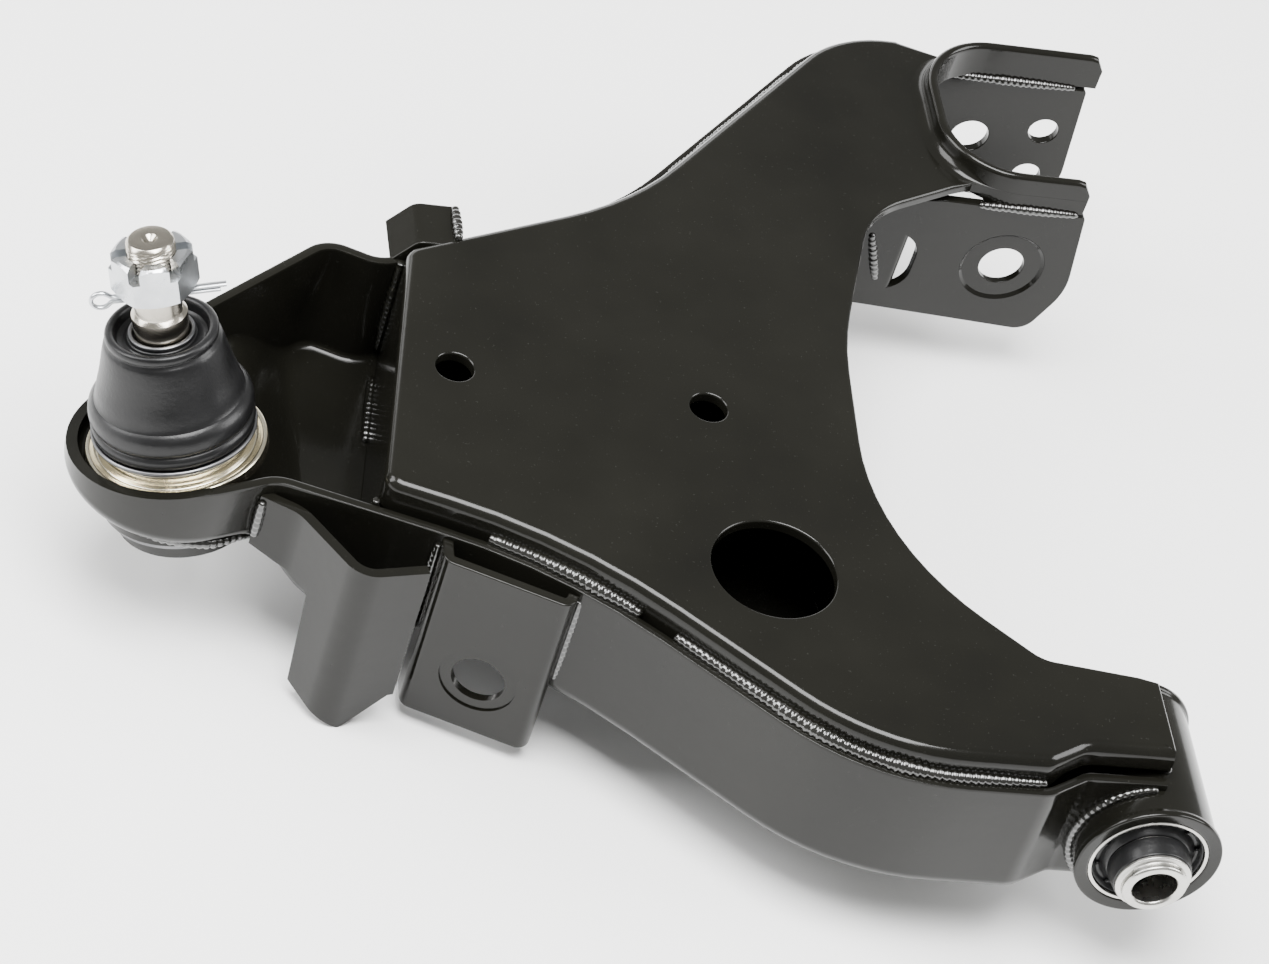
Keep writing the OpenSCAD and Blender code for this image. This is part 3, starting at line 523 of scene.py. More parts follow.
# --- Fork plates -------------------------------------------------------------------------
# Two upright ears of 4 mm plate that carry the second bush. Both are blanked with their
# pivot holes; the front one has a pressed pad round its hole and a window beside it.


def blanked(name, outline_points, holes, thick, edge_break, place):
    """A plate cut from sheet, with broken edges: an outline and holes in its own X and Y,
    centred on its own Z, then put in place."""
    curve = bpy.data.curves.new(name, "CURVE")
    curve.dimensions, curve.fill_mode = "2D", "BOTH"
    curve.extrude, curve.bevel_depth = (thick / 2 - edge_break) * MM, edge_break * MM
    curve.bevel_resolution, curve.offset = 2, -edge_break * MM
    loops = [outline_points] + holes
    for points in loops:
        spline = curve.splines.new("POLY")
        spline.points.add(len(points) - 1)
        for point, p in zip(spline.points, points):
            point.co = (p[0] * MM, p[1] * MM, 0, 1)
        spline.use_cyclic_u = True
    obj = bpy.data.objects.new(name, curve)
    bpy.context.scene.collection.objects.link(obj)
    bpy.context.view_layer.update()
    mesh = bpy.data.meshes.new_from_object(obj.evaluated_get(bpy.context.evaluated_depsgraph_get()))
    bpy.data.objects.remove(obj)
    mesh.transform(place)
    bm = bmesh.new()
    bm.from_mesh(mesh)
    bmesh.ops.remove_doubles(bm, verts=bm.verts, dist=2e-6)
    bmesh.ops.recalc_face_normals(bm, faces=bm.faces)
    bm.to_mesh(mesh)
    bm.free()
    made = bpy.data.objects.new(name, mesh)
    bpy.context.scene.collection.objects.link(made)
    return made


def ring_points(x, y, r, n=64):
    return [(x + r * cos(2 * pi * i / n), y + r * sin(2 * pi * i / n)) for i in range(n)]


def slot_points(x, y, w, h):
    r = w / 2
    return ([(x + r * cos(radians(a)), y + h / 2 - r + r * sin(radians(a))) for a in range(0, 181, 12)]
            + [(x + r * cos(radians(a)), y - h / 2 + r + r * sin(radians(a))) for a in range(180, 361, 12)])


def upright(y_middle):
    """Puts a drawing in X and Z upright at that distance along the pivot axis."""
    return Matrix.Translation((0, y_middle * MM, 0)) @ Matrix.Rotation(radians(90), 4, "X")


def joined(first, *others):
    """Puts the other objects' meshes into the first one's."""
    bm = bmesh.new()
    for o in (first, *others):
        bm.from_mesh(o.data)
    bm.to_mesh(first.data)
    bm.free()
    for o in others:
        bpy.data.objects.remove(o)
    return first


near_shape = bent([(-64, -27), (20, -33, 9), (31, -9.9, 30), (26, 31, 2), (notch_x, 32, 10), (-64, 29)])
far_shape = bent([(-64, -27), (41, -33, 9), (46, -16.5, 20), (42, 31, 2), (notch_x, 32, 10), (-64, 29)])
near_ear = blanked("fork_near_ear", near_shape, [ring_points(0, 0, 17.4), slot_points(-48, -3, 22, 30)],
                   sheet, 0.5, upright(fork_y + sheet / 2))
pad = blanked("fork_pad", ring_points(0, 0, 16.4, 96), [ring_points(0, 0, 9.3)], sheet - 1.0, 0.3,
              upright(fork_y + sheet / 2 + 0.5))
slope = [[tuple(pivot @ Vector((r * cos(a), r * sin(a), z))) for r, z in
          ((17.5, fork_y + 0.02), (16.2, fork_y + 1.02), (16.2, fork_y + 2.5), (17.5, fork_y + 2.5))]
         for a in [2 * pi * i / 96 for i in range(96)]]
slope = outward(mesh_object("fork_pad_slope", *skin(slope, round_path=True, round_ring=True)))
near_ear = joined(near_ear, pad, slope)
painted(smooth(near_ear), "arm", "fork_near_plate")
far_ear = blanked("fork_far_ear", far_shape,
                  [ring_points(0, 0, 8.1), ring_points(30.5, 7, 6.3), ring_points(30.5, -18, 6.3)],
                  sheet, 0.5, upright(fork_far_y - sheet / 2))
painted(smooth(far_ear), "arm", "fork_far_plate")

# --- Bracket, gusset and stop tab --------------------------------------------------------
# Small pressings welded outside the tray. The bracket is a bent channel with a bolt hole in
# a pressed ring; the gusset is a folded blade beside it that hangs below the tray; the tab
# is a folded leaf on the rear wall.

web_left, web_right = (ball_xy[0] + 91.6, ball_xy[1] - 57.5), (ball_xy[0] + 137, ball_xy[1] - 76)
along = unit((web_right[0] - web_left[0], web_right[1] - web_left[1]))
out = (along[1], -along[0])


def on_web(a, o):
    """A point a along the web from its left corner and o out from its front face."""
    return (web_left[0] + a * along[0] + o * out[0], web_left[1] + a * along[1] + o * out[1])


web_long = sqrt((web_right[0] - web_left[0]) ** 2 + (web_right[1] - web_left[1]) ** 2)
channel = bent([on_web(web_long, -7.0), on_web(web_long, 0) + (5,), on_web(0, 0) + (5,),
                on_web(-10.5 * tan(radians(20)), -10.5)])
strip = channel + inset(channel, sheet)[::-1]
bracket = blanked("shock_bracket_skin", strip, [], 78, 0.6, Matrix.Translation((0, 0, -12 * MM)))
hole_at = on_web(24.5, 0)
through = (Matrix.Translation((hole_at[0], hole_at[1], -25))
           @ Matrix.Rotation(atan2(along[1], along[0]), 4, "Z") @ pivot.inverted())
carve(bracket, cylinder(10.1, -30, 30, through), cylinder(14.6, -0.8, 20, through))
painted(smooth(bracket), "arm", "shock_bracket")

blade_path = bent([(web_left[0] - 4, web_left[1] - 2.5), from_ball(62, -66, 12), from_ball(41.5, -37.5, 14),
                   from_ball(28, -31)])
blade_path = finer(blade_path, 2.5)
blade_inside = inset(blade_path, sheet)
top_line = [(-400, 24), (-324, 24), (-257, 22), (-200, 22)]
low_line = [(-400, 0), (-321, 0), (-309, -4.5), (-299.5, -5.5), (-298.1, -8), (-298.0, -50), (-277.6, -59),
            (-262, -43), (-200, -43)]


def height_on(line, x):
    for a, b in zip(line, line[1:]):
        if a[0] <= x <= b[0]:
            return a[1] + (b[1] - a[1]) * (x - a[0]) / (b[0] - a[0])


rings = []
for p, q in zip(blade_path, blade_inside):
    high, low = height_on(top_line, p[0]), height_on(low_line, p[0])
    rows = [low + (high - low) * k / 12 for k in range(13)]
    rings.append([(p[0], p[1], z) for z in rows] + [(q[0], q[1], z) for z in reversed(rows)])
blade = outward(mesh_object("shock_gusset_skin", *skin(rings, round_ring=True, caps=True)))
rounding(blade, 0.6, 50)
painted(smooth(blade), "arm", "shock_gusset")

bend_x, slope_deg = ball_xy[0] + 92.6, 50
fold = bent([(bend_x - 14 * cos(radians(slope_deg)), plate_z - 0.5 - 14 * sin(radians(slope_deg))),
             (bend_x, plate_z - 0.5, 6), (bend_x + 15, plate_z - 0.5)])
tab_strip = fold + inset(fold, sheet)[::-1]
tab = blanked("stop_tab_skin", tab_strip, [], 22, 0.6, upright(ball_xy[1] + 116 - 11))
painted(smooth(tab), "arm", "stop_tab")

# --- Bush --------------------------------------------------------------------------------
# A steel tube welded across the arm's inner end, with a bonded bush pressed into it: an
# outer sleeve, a rubber ring hollowed at both faces, and a stepped steel inner sleeve that
# takes the pivot bolt.


def turned(name, profile, place, n=128, closed=True):
    """A piece turned on a lathe from (radius, height) points, in millimetres."""
    rings = []
    for i in range(n):
        c, s = cos(2 * pi * i / n), sin(2 * pi * i / n)
        rings.append([tuple(place @ Vector((r * c, r * s, z))) for r, z in profile])
    return outward(mesh_object(name, *skin(rings, round_path=True, round_ring=closed)))


def eased(profile, r, closed=True):
    """The profile with each corner cut by a small arc of radius r."""
    n, new = len(profile), []
    for i, p in enumerate(profile):
        if not closed and i in (0, n - 1):
            new.append(p)
            continue
        a, b = profile[i - 1], profile[(i + 1) % n]
        la = sqrt((a[0] - p[0]) ** 2 + (a[1] - p[1]) ** 2)
        lb = sqrt((b[0] - p[0]) ** 2 + (b[1] - p[1]) ** 2)
        k = min(r, la * 0.45, lb * 0.45)
        s = (p[0] + (a[0] - p[0]) * k / la, p[1] + (a[1] - p[1]) * k / la)
        e = (p[0] + (b[0] - p[0]) * k / lb, p[1] + (b[1] - p[1]) * k / lb)
        for t in (0, 0.25, 0.5, 0.75, 1):
            new.append(((1 - t) ** 2 * s[0] + 2 * t * (1 - t) * p[0] + t * t * e[0],
                        (1 - t) ** 2 * s[1] + 2 * t * (1 - t) * p[1] + t * t * e[1]))
    return new


def steel(name, colour, rough, bands, grain=0.05, metal=1.0):
    """A bare or plated steel: its colour, roughness, and the strength and pitch of its
    turning marks or crystals."""
    mat, tree, shader = node_material(name)
    blotch, marks = clouds(tree, (55.0, 4.0, 0.6), (bands, 2.0, 0.5))
    deep = tuple(c * 0.72 for c in colour)
    tone = ramp_node(tree, blotch, [(0.3, deep), (0.65, colour)])
    tree.links.new(tone.outputs["Color"], shader.inputs["Base Color"])
    rub = ramp_node(tree, blotch, [(0.3, rough * 1.35), (0.7, rough * 0.8)])
    tree.links.new(rub.outputs["Color"], shader.inputs["Roughness"])
    bumps(tree, shader, (marks, grain, 0.0004))
    shader.inputs["Metallic"].default_value = metal
    return mat


def rubber_like(name, dark, light, rough):
    """Moulded rubber: a satin skin with faint bloom, fine pitting and soft unevenness."""
    mat, tree, shader = node_material(name)
    bloom, pits = clouds(tree, (32.0, 4.0, 0.6), (700.0, 2.0, 0.6))
    tone = ramp_node(tree, bloom, [(0.35, dark), (0.72, light)])
    tree.links.new(tone.outputs["Color"], shader.inputs["Base Color"])
    rub = ramp_node(tree, bloom, [(0.3, rough * 0.85), (0.7, rough * 1.2)])
    tree.links.new(rub.outputs["Color"], shader.inputs["Roughness"])
    bumps(tree, shader, (bloom, 0.25, 0.0015), (pits, 0.22, 0.0003))
    shader.inputs["Specular IOR Level"].default_value = 0.28
    return mat


bare_steel = steel("machined_steel", (0.56, 0.55, 0.52), 0.26, 900.0)
black_rubber = rubber_like("moulded_rubber", (0.0035, 0.0035, 0.0037), (0.009, 0.009, 0.0095), 0.34)


def finished(obj, material, body, slot_name, *nodes):
    obj.data.materials.clear()
    obj.data.materials.append(material)
    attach(obj, body)
    if nodes:
        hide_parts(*nodes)
    return obj


def both_ends(half):
    """The front half of a turned profile, and the same half turned round for the tube's far end."""
    return half + [(r, tube_len - z) for r, z in reversed(half)]


tube_len = 64.0
tube_end = [(22, 0.4), (tube_r + 0.9, 0.0), (tube_r + 1.1, 2.2), (tube_r, 3.4)]
tube = turned("bush_tube_skin", eased(both_ends(tube_end), 0.8), pivot)
painted(smooth(tube, 50), "arm", "bush_tube")
sleeve = turned("bush_outer_sleeve_skin", eased(both_ends([(20.5, 0.5), (21.98, 0.5)]), 0.5), pivot)
finished(smooth(sleeve, 50), bare_steel, "arm", "bare_steel", "bush_outer_sleeve")
hollow = [(13.85, 0.8), (15.0, 0.6), (16.2, 2.2), (17.4, 3.9), (18.6, 4.0), (19.6, 2.4), (20.3, 1.7)]
ring = turned("bush_rubber_skin", eased(both_ends(hollow), 0.8), pivot)
# Small vent marks are moulded round each face of the rubber
bm = bmesh.new()
bm.from_mesh(ring.data)
for i in range(10):
    a = 2 * pi * (i + 0.5) / 10
    for z in (3.2, tube_len - 3.2):
        at = pivot @ Vector((18.0 * cos(a), 18.0 * sin(a), z))
        bmesh.ops.create_uvsphere(bm, u_segments=12, v_segments=8, radius=0.8 * MM,
                                  matrix=Matrix.Translation(at * MM))
bm.to_mesh(ring.data)
bm.free()
finished(smooth(ring, 60), black_rubber, "arm", "rubber", "bush_rubber")
core_end = [(8.15, -11.2), (8.9, -12.0), (11.2, -12.0), (11.9, -11.3), (11.9, -9.0), (13.8, -8.6)]
core = turned("bush_core_skin", eased(both_ends(core_end), 0.4), pivot)
finished(smooth(core, 40), bare_steel, "bush_core", "bare_steel", "bush_inner_sleeve")
# The rubber runs out along the inner sleeve as a thin moulded collar at each end
for y, name in ((0, "bush_collar_front"), (tube_len, "bush_collar_rear")):
    way = -1 if y == 0 else 1
    lip_band = [(13.86, y), (15.2, y), (14.9, y + way * 3.2), (14.3, y + way * 7.2), (13.86, y + way * 7.6)]
    band = turned(name, eased(lip_band, 0.3), pivot)
    finished(smooth(band, 50), black_rubber, "bush_core", "rubber")

# --- Ball joint --------------------------------------------------------------------------
# A plated steel housing pressed into a collar in the arm's nose. Its flange sits in the
# nose, the ball runs in plastic seats inside, and a plate closes it from below.

zinc = steel("yellow_zinc_plate", (0.80, 0.74, 0.58), 0.20, 500.0, 0.04)
bright_zinc = steel("clear_zinc_plate", (0.60, 0.62, 0.64), 0.27, 700.0, 0.10)
dark_spring = steel("oiled_spring_steel", (0.16, 0.16, 0.165), 0.34, 700.0)
stud_steel = steel("ground_stud_steel", (0.50, 0.465, 0.40), 0.19, 1200.0, 0.05)
# Each profile is (radius, height), from below upwards
barrel = [(19.03, -35), (25.3, -35), (25.5, -28.1), (25.5, -5)]
flange = [(32.4, -5), (33, -4.4), (33, -0.6), (32.5, 0), (31.2, 0.1), (29.9, -1.0), (28.4, -1.3)]
boot_seat = [(27.6, 0.4), (27.5, 3.6), (26.5, 4.4), (26.5, 8), (25.5, 9), (21, 9)]
mouth = [(13.8, -1.4), (13.8, -2.0), (19.03, -2.0)]
housing = turned("ball_joint_housing_skin", eased(barrel + flange + boot_seat + mouth, 0.6), leaning)
finished(smooth(housing, 50), zinc, "arm", "zinc_steel", "ball_joint_housing")
# Painted shade: below its plated flange the housing and its cover are given a dark steel in place of the
# plating, for the shade under the nose
painted_shade_steel = steel("dark_steel_painted_shade", (0.022, 0.022, 0.021), 0.42, 900.0, 0.12, 0.6)
housing.data.materials.append(painted_shade_steel)
to_joint = leaning.inverted()
for face in housing.data.polygons:
    if (to_joint @ (face.center / MM)).z < barrel[-1][1] - 0.1:
        face.material_index = 1
collar = [(25.52, -26), (collar_r, -26), (collar_r, -5.2), (25.52, -5.2)]
collar = turned("ball_joint_collar_skin", eased(collar, 0.8), leaning)
painted(smooth(collar, 50), "arm", "ball_joint_collar")
cover = [(0, -34.02), (7.6, -34.02), (9.2, -35.0), (16.5, -35.0), (18.9, -34.2), (18.99, -32.1), (0, -32.1)]
cover = turned("housing_cover_skin", eased(cover, 0.5, closed=False), leaning, closed=False)
# The cover takes the same dark steel: painted shade under the housing
finished(smooth(cover, 40), painted_shade_steel, "arm", "zinc_steel", "housing_cover")
seat_plastic = rubber_like("bearing_plastic", (0.62, 0.60, 0.54), (0.74, 0.73, 0.68), 0.42)
for hidden, material in (("housing_retaining_ring", dark_spring), ("preload_washer", dark_spring),
                         ("ball_seat_upper", seat_plastic), ("ball_seat_lower", seat_plastic)):
    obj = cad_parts[hidden]
    obj.data.materials.clear()
    obj.data.materials.append(material)

# --- Boot --------------------------------------------------------------------------------
# A moulded rubber boot over the ball joint: its foot grips the housing under a wire ring,
# its body narrows in steps, and its dished lip holds the stud with a second ring. It is made
# in two halves, a foot and a head.

split = 22.0
# Outside the foot: over the wire, the groove above it, the bulge and the step
outside = [(27.0, 4.9), (28.0, 4.9), (28.1, 7.6), (28.9, 8.0), (29.5, 9.2), (29.55, 11.0), (28.9, 12.2)]
outside += [(28.5, 12.6), (28.9, 13.2), (29.6, 14.6), (29.75, 16.8), (29.3, 19.2), (28.2, 21.0)]
outside += [(27.1, split)]
# Outside the head: the cone, the neck under the lip and the lip's roll
outside_top = [(27.1, split), (26.5, 23.4), (25.6, 27.0), (24.3, 31.5), (23.1, 36.5), (22.1, 41.0)]
outside_top += [(21.2, 44.4), (20.3, 45.8), (19.9, 46.6), (20.2, 47.4), (20.3, 48.6), (19.7, 49.8)]
outside_top += [(18.4, 50.2), (17.3, 49.7), (16.8, 48.6)]
# Inside the head: the dish, the ring round the stud, the bore and the thin wall
inside_top = [(16.2, 46.4), (14.6, 45.6), (13.2, 46.0), (12.5, 47.0), (11.4, 47.1), (10.2, 46.2)]
inside_top += [(10.1, 45.6), (10.1, 41.2), (13.0, 40.4), (18.2, 39.6), (20.4, 35.0), (22.9, 27.0)]
inside_top += [(24.3, split)]
inside = [(24.3, split), (24.6, 21.0), (26.2, 17.0), (26.3, 12.0), (26.8, 10.6), (26.8, 5.4)]


def curved(points, per=5):
    """A smooth curve through points, as a Catmull-Rom spline."""
    out = []
    for i in range(len(points) - 1):
        p = [points[max(0, i - 1)], points[i], points[i + 1], points[min(len(points) - 1, i + 2)]]
        for k in range(per):
            t = k / per
            out.append(tuple(0.5 * (2 * b + (c - a) * t + (2 * a - 5 * b + 4 * c - d) * t * t
                                    + (3 * b - a - 3 * c + d) * t ** 3) for a, b, c, d in zip(*p)))
    return out + [points[-1]]


boot_foot = turned("dust_boot_foot", curved(outside) + curved(inside), leaning, 160)
boot_head = turned("dust_boot_head", curved(outside_top) + curved(inside_top), leaning, 160)
for half in (boot_foot, boot_head):
    smooth(half, 80)
    half.data.materials.append(black_rubber)


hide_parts("dust_boot")
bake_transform(boot_foot)
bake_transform(boot_head)
wire_r = 0.9
for name, ring_r, at, body, stands_for in (("boot_foot_wire", 29.1, 6.3, "arm", "boot_lower_ring"),
                                           ("boot_lip_wire", 11.3, 48.0, "boot_top", "boot_upper_ring")):
    wire = turned(name, ring_points(ring_r, at, wire_r, 20), leaning)
    finished(smooth(wire, 80), dark_spring, body, "spring_steel", stands_for)

# --- Stud, nut and pin -------------------------------------------------------------------
# The ground ball stud stands out of the boot with a plain seat, an 18 mm thread and a
# centre mark. A slotted nut is run on to the thread, and a cotter pin lies through the
# stud's cross hole below it.

ball_r, ball_s, neck_r = 16.0, -11.0, 7.5
thread_start, thread_r, stud_end, pin_s = 65.5, 8.6, 88.0, 64.0
globe = [(ball_r * cos(radians(a)), ball_s + ball_r * sin(radians(a))) for a in range(-90, 62, 4)]
globe = [p for p in globe if not (p[1] > ball_s and p[0] < neck_r)]
shaft = [(neck_r, ball_s + ball_r * cos(asin(neck_r / ball_r))), (neck_r, 8.1), (9.8, 21.1)]
shaft += [(9.8, 50.5), (9.95, 51.0), (10.0, 56.2), (9.2, 57.1), (8.6, 57.6), (8.5, 58.4), (8.5, 65.3)]
pitch, cut = 1.5, 0.75
steps = int((stud_end - 1.1 - thread_start) / (pitch / 8))
thread_z = [thread_start + pitch / 8 * k for k in range(steps)]
tip = [(8.35, 87.0), (7.6, 87.75), (7.3, 87.95), (2.9, stud_end), (2.5, 87.7), (0.9, 86.1), (0.0, 85.9)]
rings = []
for i in range(96):
    a = 2 * pi * i / 96
    ring = [(0.0, ball_s - ball_r)] + globe[1:] + shaft
    for z in thread_z:
        phase = ((z - thread_start) / pitch - i / 96) % 1
        fade = min(1, (z - thread_start) / pitch, (stud_end - 0.8 - z) / pitch)
        ring.append((thread_r - cut * fade * abs(2 * phase - 1), z))
    rings.append([tuple(leaning @ Vector((r * cos(a), r * sin(a), z))) for r, z in ring + tip])
stud = outward(mesh_object("ball_stud_skin", *skin(rings, round_path=True)))
across = leaning @ Matrix.Translation((0, 0, pin_s)) @ Matrix.Rotation(radians(90), 4, "Y")
carve(stud, cylinder(1.9, -20, 20, across, 40))
finished(smooth(stud, 40), stud_steel, "stud", "bare_steel", "ball_stud")

nut_low, nut_high, flats = 67.0, 83.0, 27.0
hexagon = ring_points(0, 0, flats / 2 / cos(radians(30)), 6)
nut = outward(mesh_object("castle_nut_skin", *skin(
    [[tuple(leaning @ Vector((x, y, z))) for x, y in hexagon] for z in (nut_low, nut_high)],
    round_ring=True, caps=True)))
blank = turned("blank", [(0, nut_low), (12.9, nut_low), (15.7, nut_low + 1.6), (15.7, nut_high - 1.9),
                         (12.6, nut_high), (0, nut_high)], leaning, 96, closed=False)
carve(nut, blank, how="INTERSECT")
slots = [block((-30, -2.2, nut_high - 5.5), (30, 2.2, nut_high + 3),
               leaning @ Matrix.Rotation(radians(a), 4, "Z")) for a in (0, 60, 120)]
bore = turned("bore", [(0, nut_low - 1), (9.9, nut_low - 1), (8.68, nut_low + 0.9), (8.68, nut_high - 0.9),
                       (9.9, nut_high + 1), (0, nut_high + 1)], leaning, 96, closed=False)
carve(nut, bore, *slots)
rounding(nut, 0.35, 32)
finished(smooth(nut, 30), bright_zinc, "nut", "bright_zinc", "castle_nut")

# The pin is one half-round wire folded on itself, with an open eye at the fold
legs = [(24.5, 0.86), (10, 0.86), (-10, 0.86), (-15.2, 0.9)]
eye = [(-19.6 + 3.0 * cos(radians(a)) * 1.15, 3.0 * sin(radians(a))) for a in range(48, 313, 12)]
route = curved(legs + eye + [(-15.2, -0.9), (-10, -0.86), (10, -0.86), (22.3, -0.86)], 4)
rings = []
for i, p in enumerate(route):
    a, b = route[max(0, i - 1)], route[min(len(route) - 1, i + 1)]
    w = unit((b[0] - a[0], b[1] - a[1]))
    side = (-w[1], w[0])
    ring = []
    for k in range(16):
        t = 2 * pi * k / 16
        u, v = 0.82 * cos(t), 1.55 * sin(t) * (1 if abs(p[1]) < 1.2 and p[0] > -15 else 0.72)
        u = max(-0.8, min(0.8, u))
        ring.append(tuple(leaning @ Vector((p[0] + side[0] * u, v * 0.95, pin_s + p[1] + side[1] * u))))
    rings.append(ring)
pin = outward(mesh_object("cotter_pin_skin", *skin(rings, round_ring=True, caps=True)))
finished(smooth(pin, 70), bright_zinc, "pin", "bright_zinc", "cotter_pin")

# --- Welds -------------------------------------------------------------------------------
# Arc-welded seams hold the pressings, the fork, the bush tube and the collar together. Each
# is a rippled bead laid before the arm was painted.


def bead_tree():
    """Geometry Nodes: a rippled bead of weld along every edge path it is given."""
    tree = bpy.data.node_groups.new("weld bead", "GeometryNodeTree")
    face = tree.interface
    face.new_socket("Geometry", in_out="INPUT", socket_type="NodeSocketGeometry")
    sizes = {"Bead radius": 0.0024, "Ripple pitch": 0.0026, "Ripple depth": 0.3, "Lumpiness": 0.9}
    for name, value in sizes.items():
        face.new_socket(name, in_out="INPUT", socket_type="NodeSocketFloat").default_value = value
    face.new_socket("Seed", in_out="INPUT", socket_type="NodeSocketFloat").default_value = 1.0
    face.new_socket("Material", in_out="INPUT", socket_type="NodeSocketMaterial")
    face.new_socket("Geometry", in_out="OUTPUT", socket_type="NodeSocketGeometry")
    start, end = tree.nodes.new("NodeGroupInput"), tree.nodes.new("NodeGroupOutput")

    def add(kind, ins=(), **values):
        made = node(tree, kind, **values)
        for socket, source in ins:
            tree.links.new(source, made.inputs[socket])
        return made

    def maths(operation, a, b):
        made = tree.nodes.new("ShaderNodeMath")
        made.operation = operation
        for i, v in enumerate((a, b)):
            if isinstance(v, (int, float)):
                made.inputs[i].default_value = v
            else:
                tree.links.new(v, made.inputs[i])
        return made.outputs[0]

    curve = add("GeometryNodeMeshToCurve", [("Mesh", start.outputs["Geometry"])])
    curve = add("GeometryNodeResampleCurve", [("Curve", curve.outputs["Curve"])], mode="LENGTH",
                Length=0.00065)
    run = tree.nodes.new("GeometryNodeSplineParameter")
    turns = maths("DIVIDE", run.outputs["Length"], start.outputs["Ripple pitch"])
    wave = maths("ABSOLUTE", maths("SINE", maths("MULTIPLY", turns, pi), 0.0), 0.0)
    wave = maths("MULTIPLY", maths("SUBTRACT", wave, 0.6), start.outputs["Ripple depth"])
    uneven = add("ShaderNodeTexNoise", [("W", start.outputs["Seed"])], noise_dimensions="4D", Scale=90.0,
                 Detail=2.0)
    lumps = maths("MULTIPLY", maths("SUBTRACT", uneven.outputs["Fac"], 0.5), start.outputs["Lumpiness"])
    ends = maths("POWER", maths("SINE", maths("MULTIPLY", run.outputs["Factor"], 3.1), 0.0), 0.2)
    size = maths("MULTIPLY", maths("ADD", maths("ADD", 1.0, wave), lumps), maths("MAXIMUM", ends, 0.15))
    size = maths("MULTIPLY", size, start.outputs["Bead radius"])
    round_one = add("GeometryNodeCurvePrimitiveCircle", Resolution=10, Radius=1.0)
    skinned = add("GeometryNodeCurveToMesh", [("Curve", curve.outputs["Curve"]), ("Scale", size),
                                              ("Profile Curve", round_one.outputs["Curve"])])
    skinned.inputs["Fill Caps"].default_value = True
    real = add("GeometryNodeRealizeInstances", [("Geometry", skinned.outputs["Mesh"])])
    done = add("GeometryNodeSetMaterial", [("Geometry", real.outputs["Geometry"]),
                                           ("Material", start.outputs["Material"])])
    tree.links.new(done.outputs["Geometry"], end.inputs["Geometry"])
    return tree


bead_nodes = bead_tree()
# Paint pools and stays wet longer over the beads, so it dries glossier there
weld_paint = paint.copy()
weld_paint.name = "gloss_black_over_weld"
wet = weld_paint.node_tree.nodes["Principled BSDF"]
wet.inputs["Specular IOR Level"].default_value = 0.6
wet.inputs["Coat Weight"].default_value = 0.7
wet.inputs["Coat Roughness"].default_value = 0.05


def beads(name, paths, radius, seed):
    """Weld beads of one size along paths of (x, y, z) points in millimetres."""
    verts, edges = [], []
    for path in paths:
        edges += [(len(verts) + i, len(verts) + i + 1) for i in range(len(path) - 1)]
        verts += [[c * MM for c in p] for p in path]
    mesh = bpy.data.meshes.new(name)
    mesh.from_pydata(verts, edges, [])
    obj = bpy.data.objects.new(name, mesh)
    bpy.context.scene.collection.objects.link(obj)
    mod = obj.modifiers.new("weld bead", "NODES")
    mod.node_group = bead_nodes
    for item in bead_nodes.interface.items_tree:
        values = {"Bead radius": radius * MM, "Seed": float(seed), "Material": weld_paint}
        if item.in_out == "INPUT" and item.name in values:
            mod[item.identifier] = values[item.name]
    settled(obj)
    return finished(smooth(outward(obj), 180), weld_paint, "arm", "black_paint")


def level_path(flat, z, low_x, high_x):
    return [(p[0], p[1], z) for p in flat if low_x < p[0] < high_x]


front_seam, rear_seam = inset(finer(front_wall, 4), 5.0), inset(finer(rear_wall, 4), 5.0)
groove_z = rim_z + 0.5
beads("welds_front_seam", [level_path(front_seam, groove_z, -176, -46),
                           level_path(front_seam, groove_z, -240, -186)], 2.9, 3)
beads("welds_rear_seam", [level_path(rear_seam, groove_z, -165, -50),
                          level_path(rear_seam, groove_z, -250, -196)], 2.3, 5)
low_foot, high_foot = crossing(inset(finer(front_wall, 8), 5.2)), crossing(inset(finer(rear_wall, 8), 5.2))
across_floor = finer([low_foot, high_foot], 6)
beads("welds_outboard_edge",
      [[(low_foot[0] - 1.0, low_foot[1] + 0.6, z) for z in range(-16, 31, 2)],
       [(high_foot[0] - 1.0, high_foot[1] - 0.6, z) for z in range(-16, 31, 2)],
       [(p[0] - 0.8, p[1], floor_z + sheet + 0.8) for p in across_floor[2:9]],
       [(p[0] - 0.8, p[1], floor_z + sheet + 0.8) for p in across_floor[-9:-2]],
       [(-239.6, y, plate_z + 0.2) for y in range(248, 267, 2)]], 2.1, 7)
beads("welds_fork", [[(x, fork_y - 0.2, 32.0) for x in range(-20, 23, 2)],
                     [(x, notch_far - 0.2, 32.0) for x in range(-20, 38, 2)],
                     [(-58.5 + 0.35 * k, fork_y - 0.1, 11 - k) for k in range(0, 25, 2)],
                     [(-42.5, fork_far_y + 0.2, z) for z in range(-22, 24, 2)]], 1.9, 9)
inner_seam = [(p[0], p[1], 34.2) for p in inset(finer(bent(inner_corners + [(0, 53)]), 3), -0.4)]
beads("welds_inner_edge", [[p for p in inner_seam if -92 < p[0] < -66 and p[1] < 110],
                           [p for p in inner_seam if -60 < p[0] < -26]], 1.9, 11)


def round_tube(y, r, low_deg, high_deg):
    return [(r * cos(radians(a)), y, r * sin(radians(a))) for a in range(low_deg, high_deg + 1, 4)]


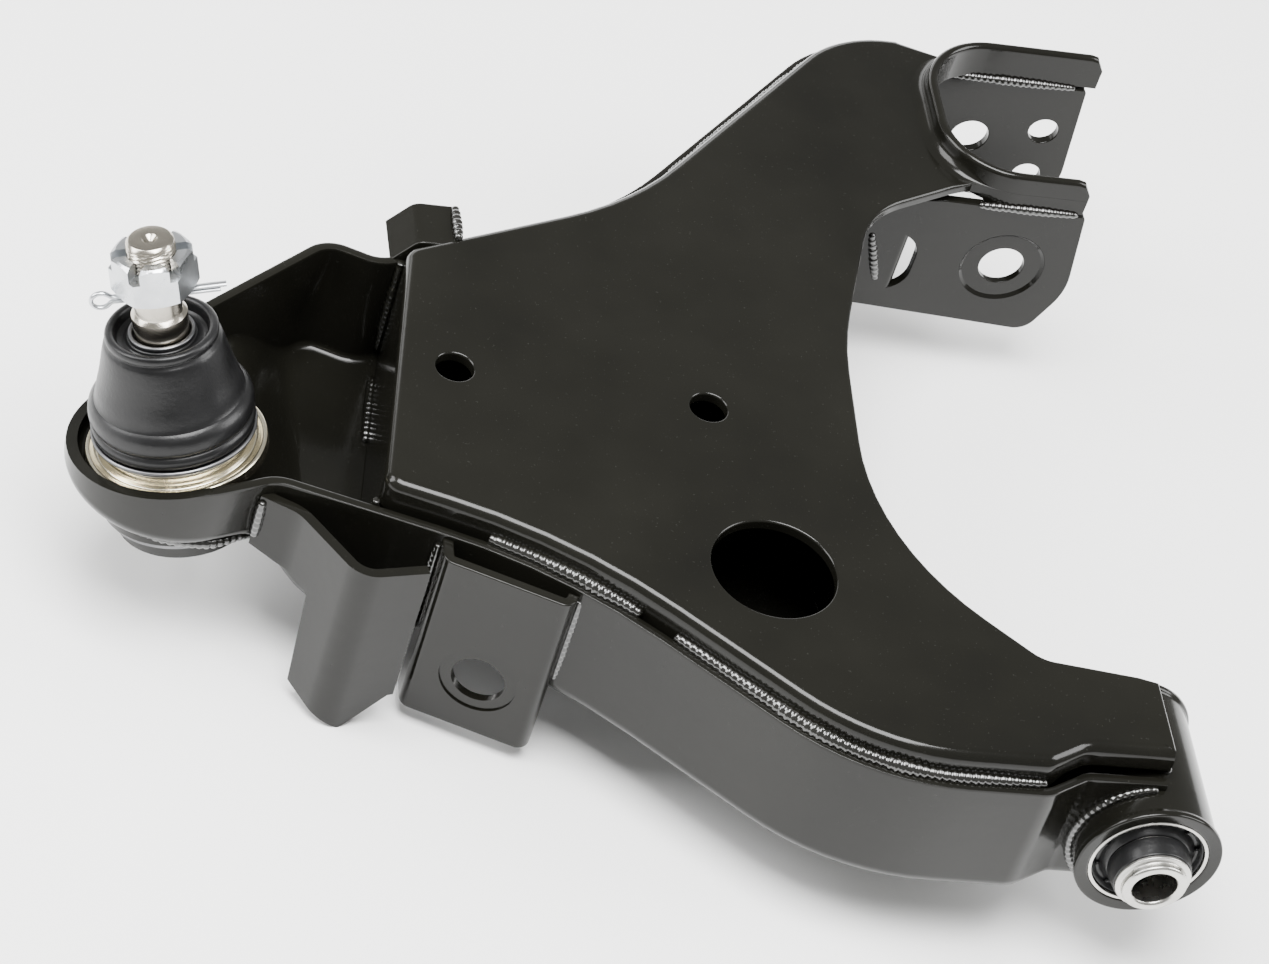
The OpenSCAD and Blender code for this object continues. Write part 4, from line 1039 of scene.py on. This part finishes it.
beads("welds_bush_tube", [round_tube(11.6, tube_r + 0.8, 96, 264), round_tube(53.4, tube_r + 0.8, 96, 264),
                          [(2.6, y, tube_r + 0.6) for y in range(20, 51, 2)]], 2.0, 13)
under_collar = []
for a in range(0, 361, 5):
    s = -25.0
    for k in range(4):
        q = leaning @ Vector((30.4 * cos(radians(a)), 30.4 * sin(radians(a)), s))
        s += (floor_at(q.x) - 0.3 - q.z) / 0.9535
    under_collar.append(tuple(q))
web_end, web_start = on_web(web_long + 0.8, -8.0), on_web(-10.5 * tan(radians(20)) - 0.6, -9.5)
beads("welds_nose", [under_collar], 2.2, 15)
beads("welds_bracket", [[(*web_end, z) for z in range(-18, 25, 2)],
                        [(*web_start, z) for z in range(-18, 25, 2)],
                        [(*from_ball(29, -31.5)[:2], z) for z in range(4, 23, 2)]], 2.0, 17)

# --- Floor, camera and light -------------------------------------------------------------
# A pale floor under the arm, a long lens looking down from the front, and soft lamps. The
# world stays dim so that the gloss paint keeps its black.

floor = block((-2500, -2500, -2), (2500, 2500, 0), Matrix.Translation((0, 0, cad_low[2] / MM - 0.3)))
floor.name = "floor"
pale, tree, shader = node_material("pale_floor")
cloud, = clouds(tree, (3.0, 2.0, 0.5))
tone = ramp_node(tree, cloud, [(0.3, (0.90, 0.90, 0.895)), (0.7, (0.93, 0.93, 0.925))])
tree.links.new(tone.outputs["Color"], shader.inputs["Base Color"])
shader.inputs["Roughness"].default_value = 0.75
shader.inputs["Specular IOR Level"].default_value = 0.2
floor.data.materials.append(pale)

lens = bpy.data.cameras.new("camera")
lens.sensor_width, lens.lens = 36, 4500 * 36 / 1269
lens.clip_start, lens.clip_end = 0.05, 50
camera = bpy.data.objects.new("camera", lens)
bpy.context.scene.collection.objects.link(camera)
camera.matrix_world = Matrix(((0.9634, -0.0875, -0.2533, -0.59607), (-0.1141, 0.7213, -0.6831, -0.97901),
                              (0.2424, 0.6871, 0.6850, 1.15036), (0, 0, 0, 1)))
bpy.context.scene.camera = camera

world = bpy.data.worlds.new("studio")
world.use_nodes = True
world.node_tree.nodes["Background"].inputs["Color"].default_value = (0.50, 0.50, 0.49, 1)
bpy.context.scene.world = world


def lamp(name, at, aim, size, watts):
    light = bpy.data.lights.new(name, "AREA")
    light.shape, light.size, light.size_y, light.energy = "RECTANGLE", size[0], size[1], watts
    obj = bpy.data.objects.new(name, light)
    bpy.context.scene.collection.objects.link(obj)
    obj.location = at
    obj.rotation_euler = (Vector(aim) - Vector(at)).to_track_quat("-Z", "Y").to_euler()


lamp("overhead", (-0.5, -0.3, 2.2), (-0.17, 0.2, 0), (1.6, 1.2), 172)
lamp("left_side", (-1.9, 0.5, 1.1), (-0.17, 0.2, 0), (1.0, 1.4), 62)
lamp("right_side", (1.7, 0.0, 1.3), (-0.17, 0.2, 0), (1.0, 1.4), 58)
lamp("behind", (-0.4, 2.3, 0.42), (-0.17, 0.2, 0), (2.6, 0.6), 16)
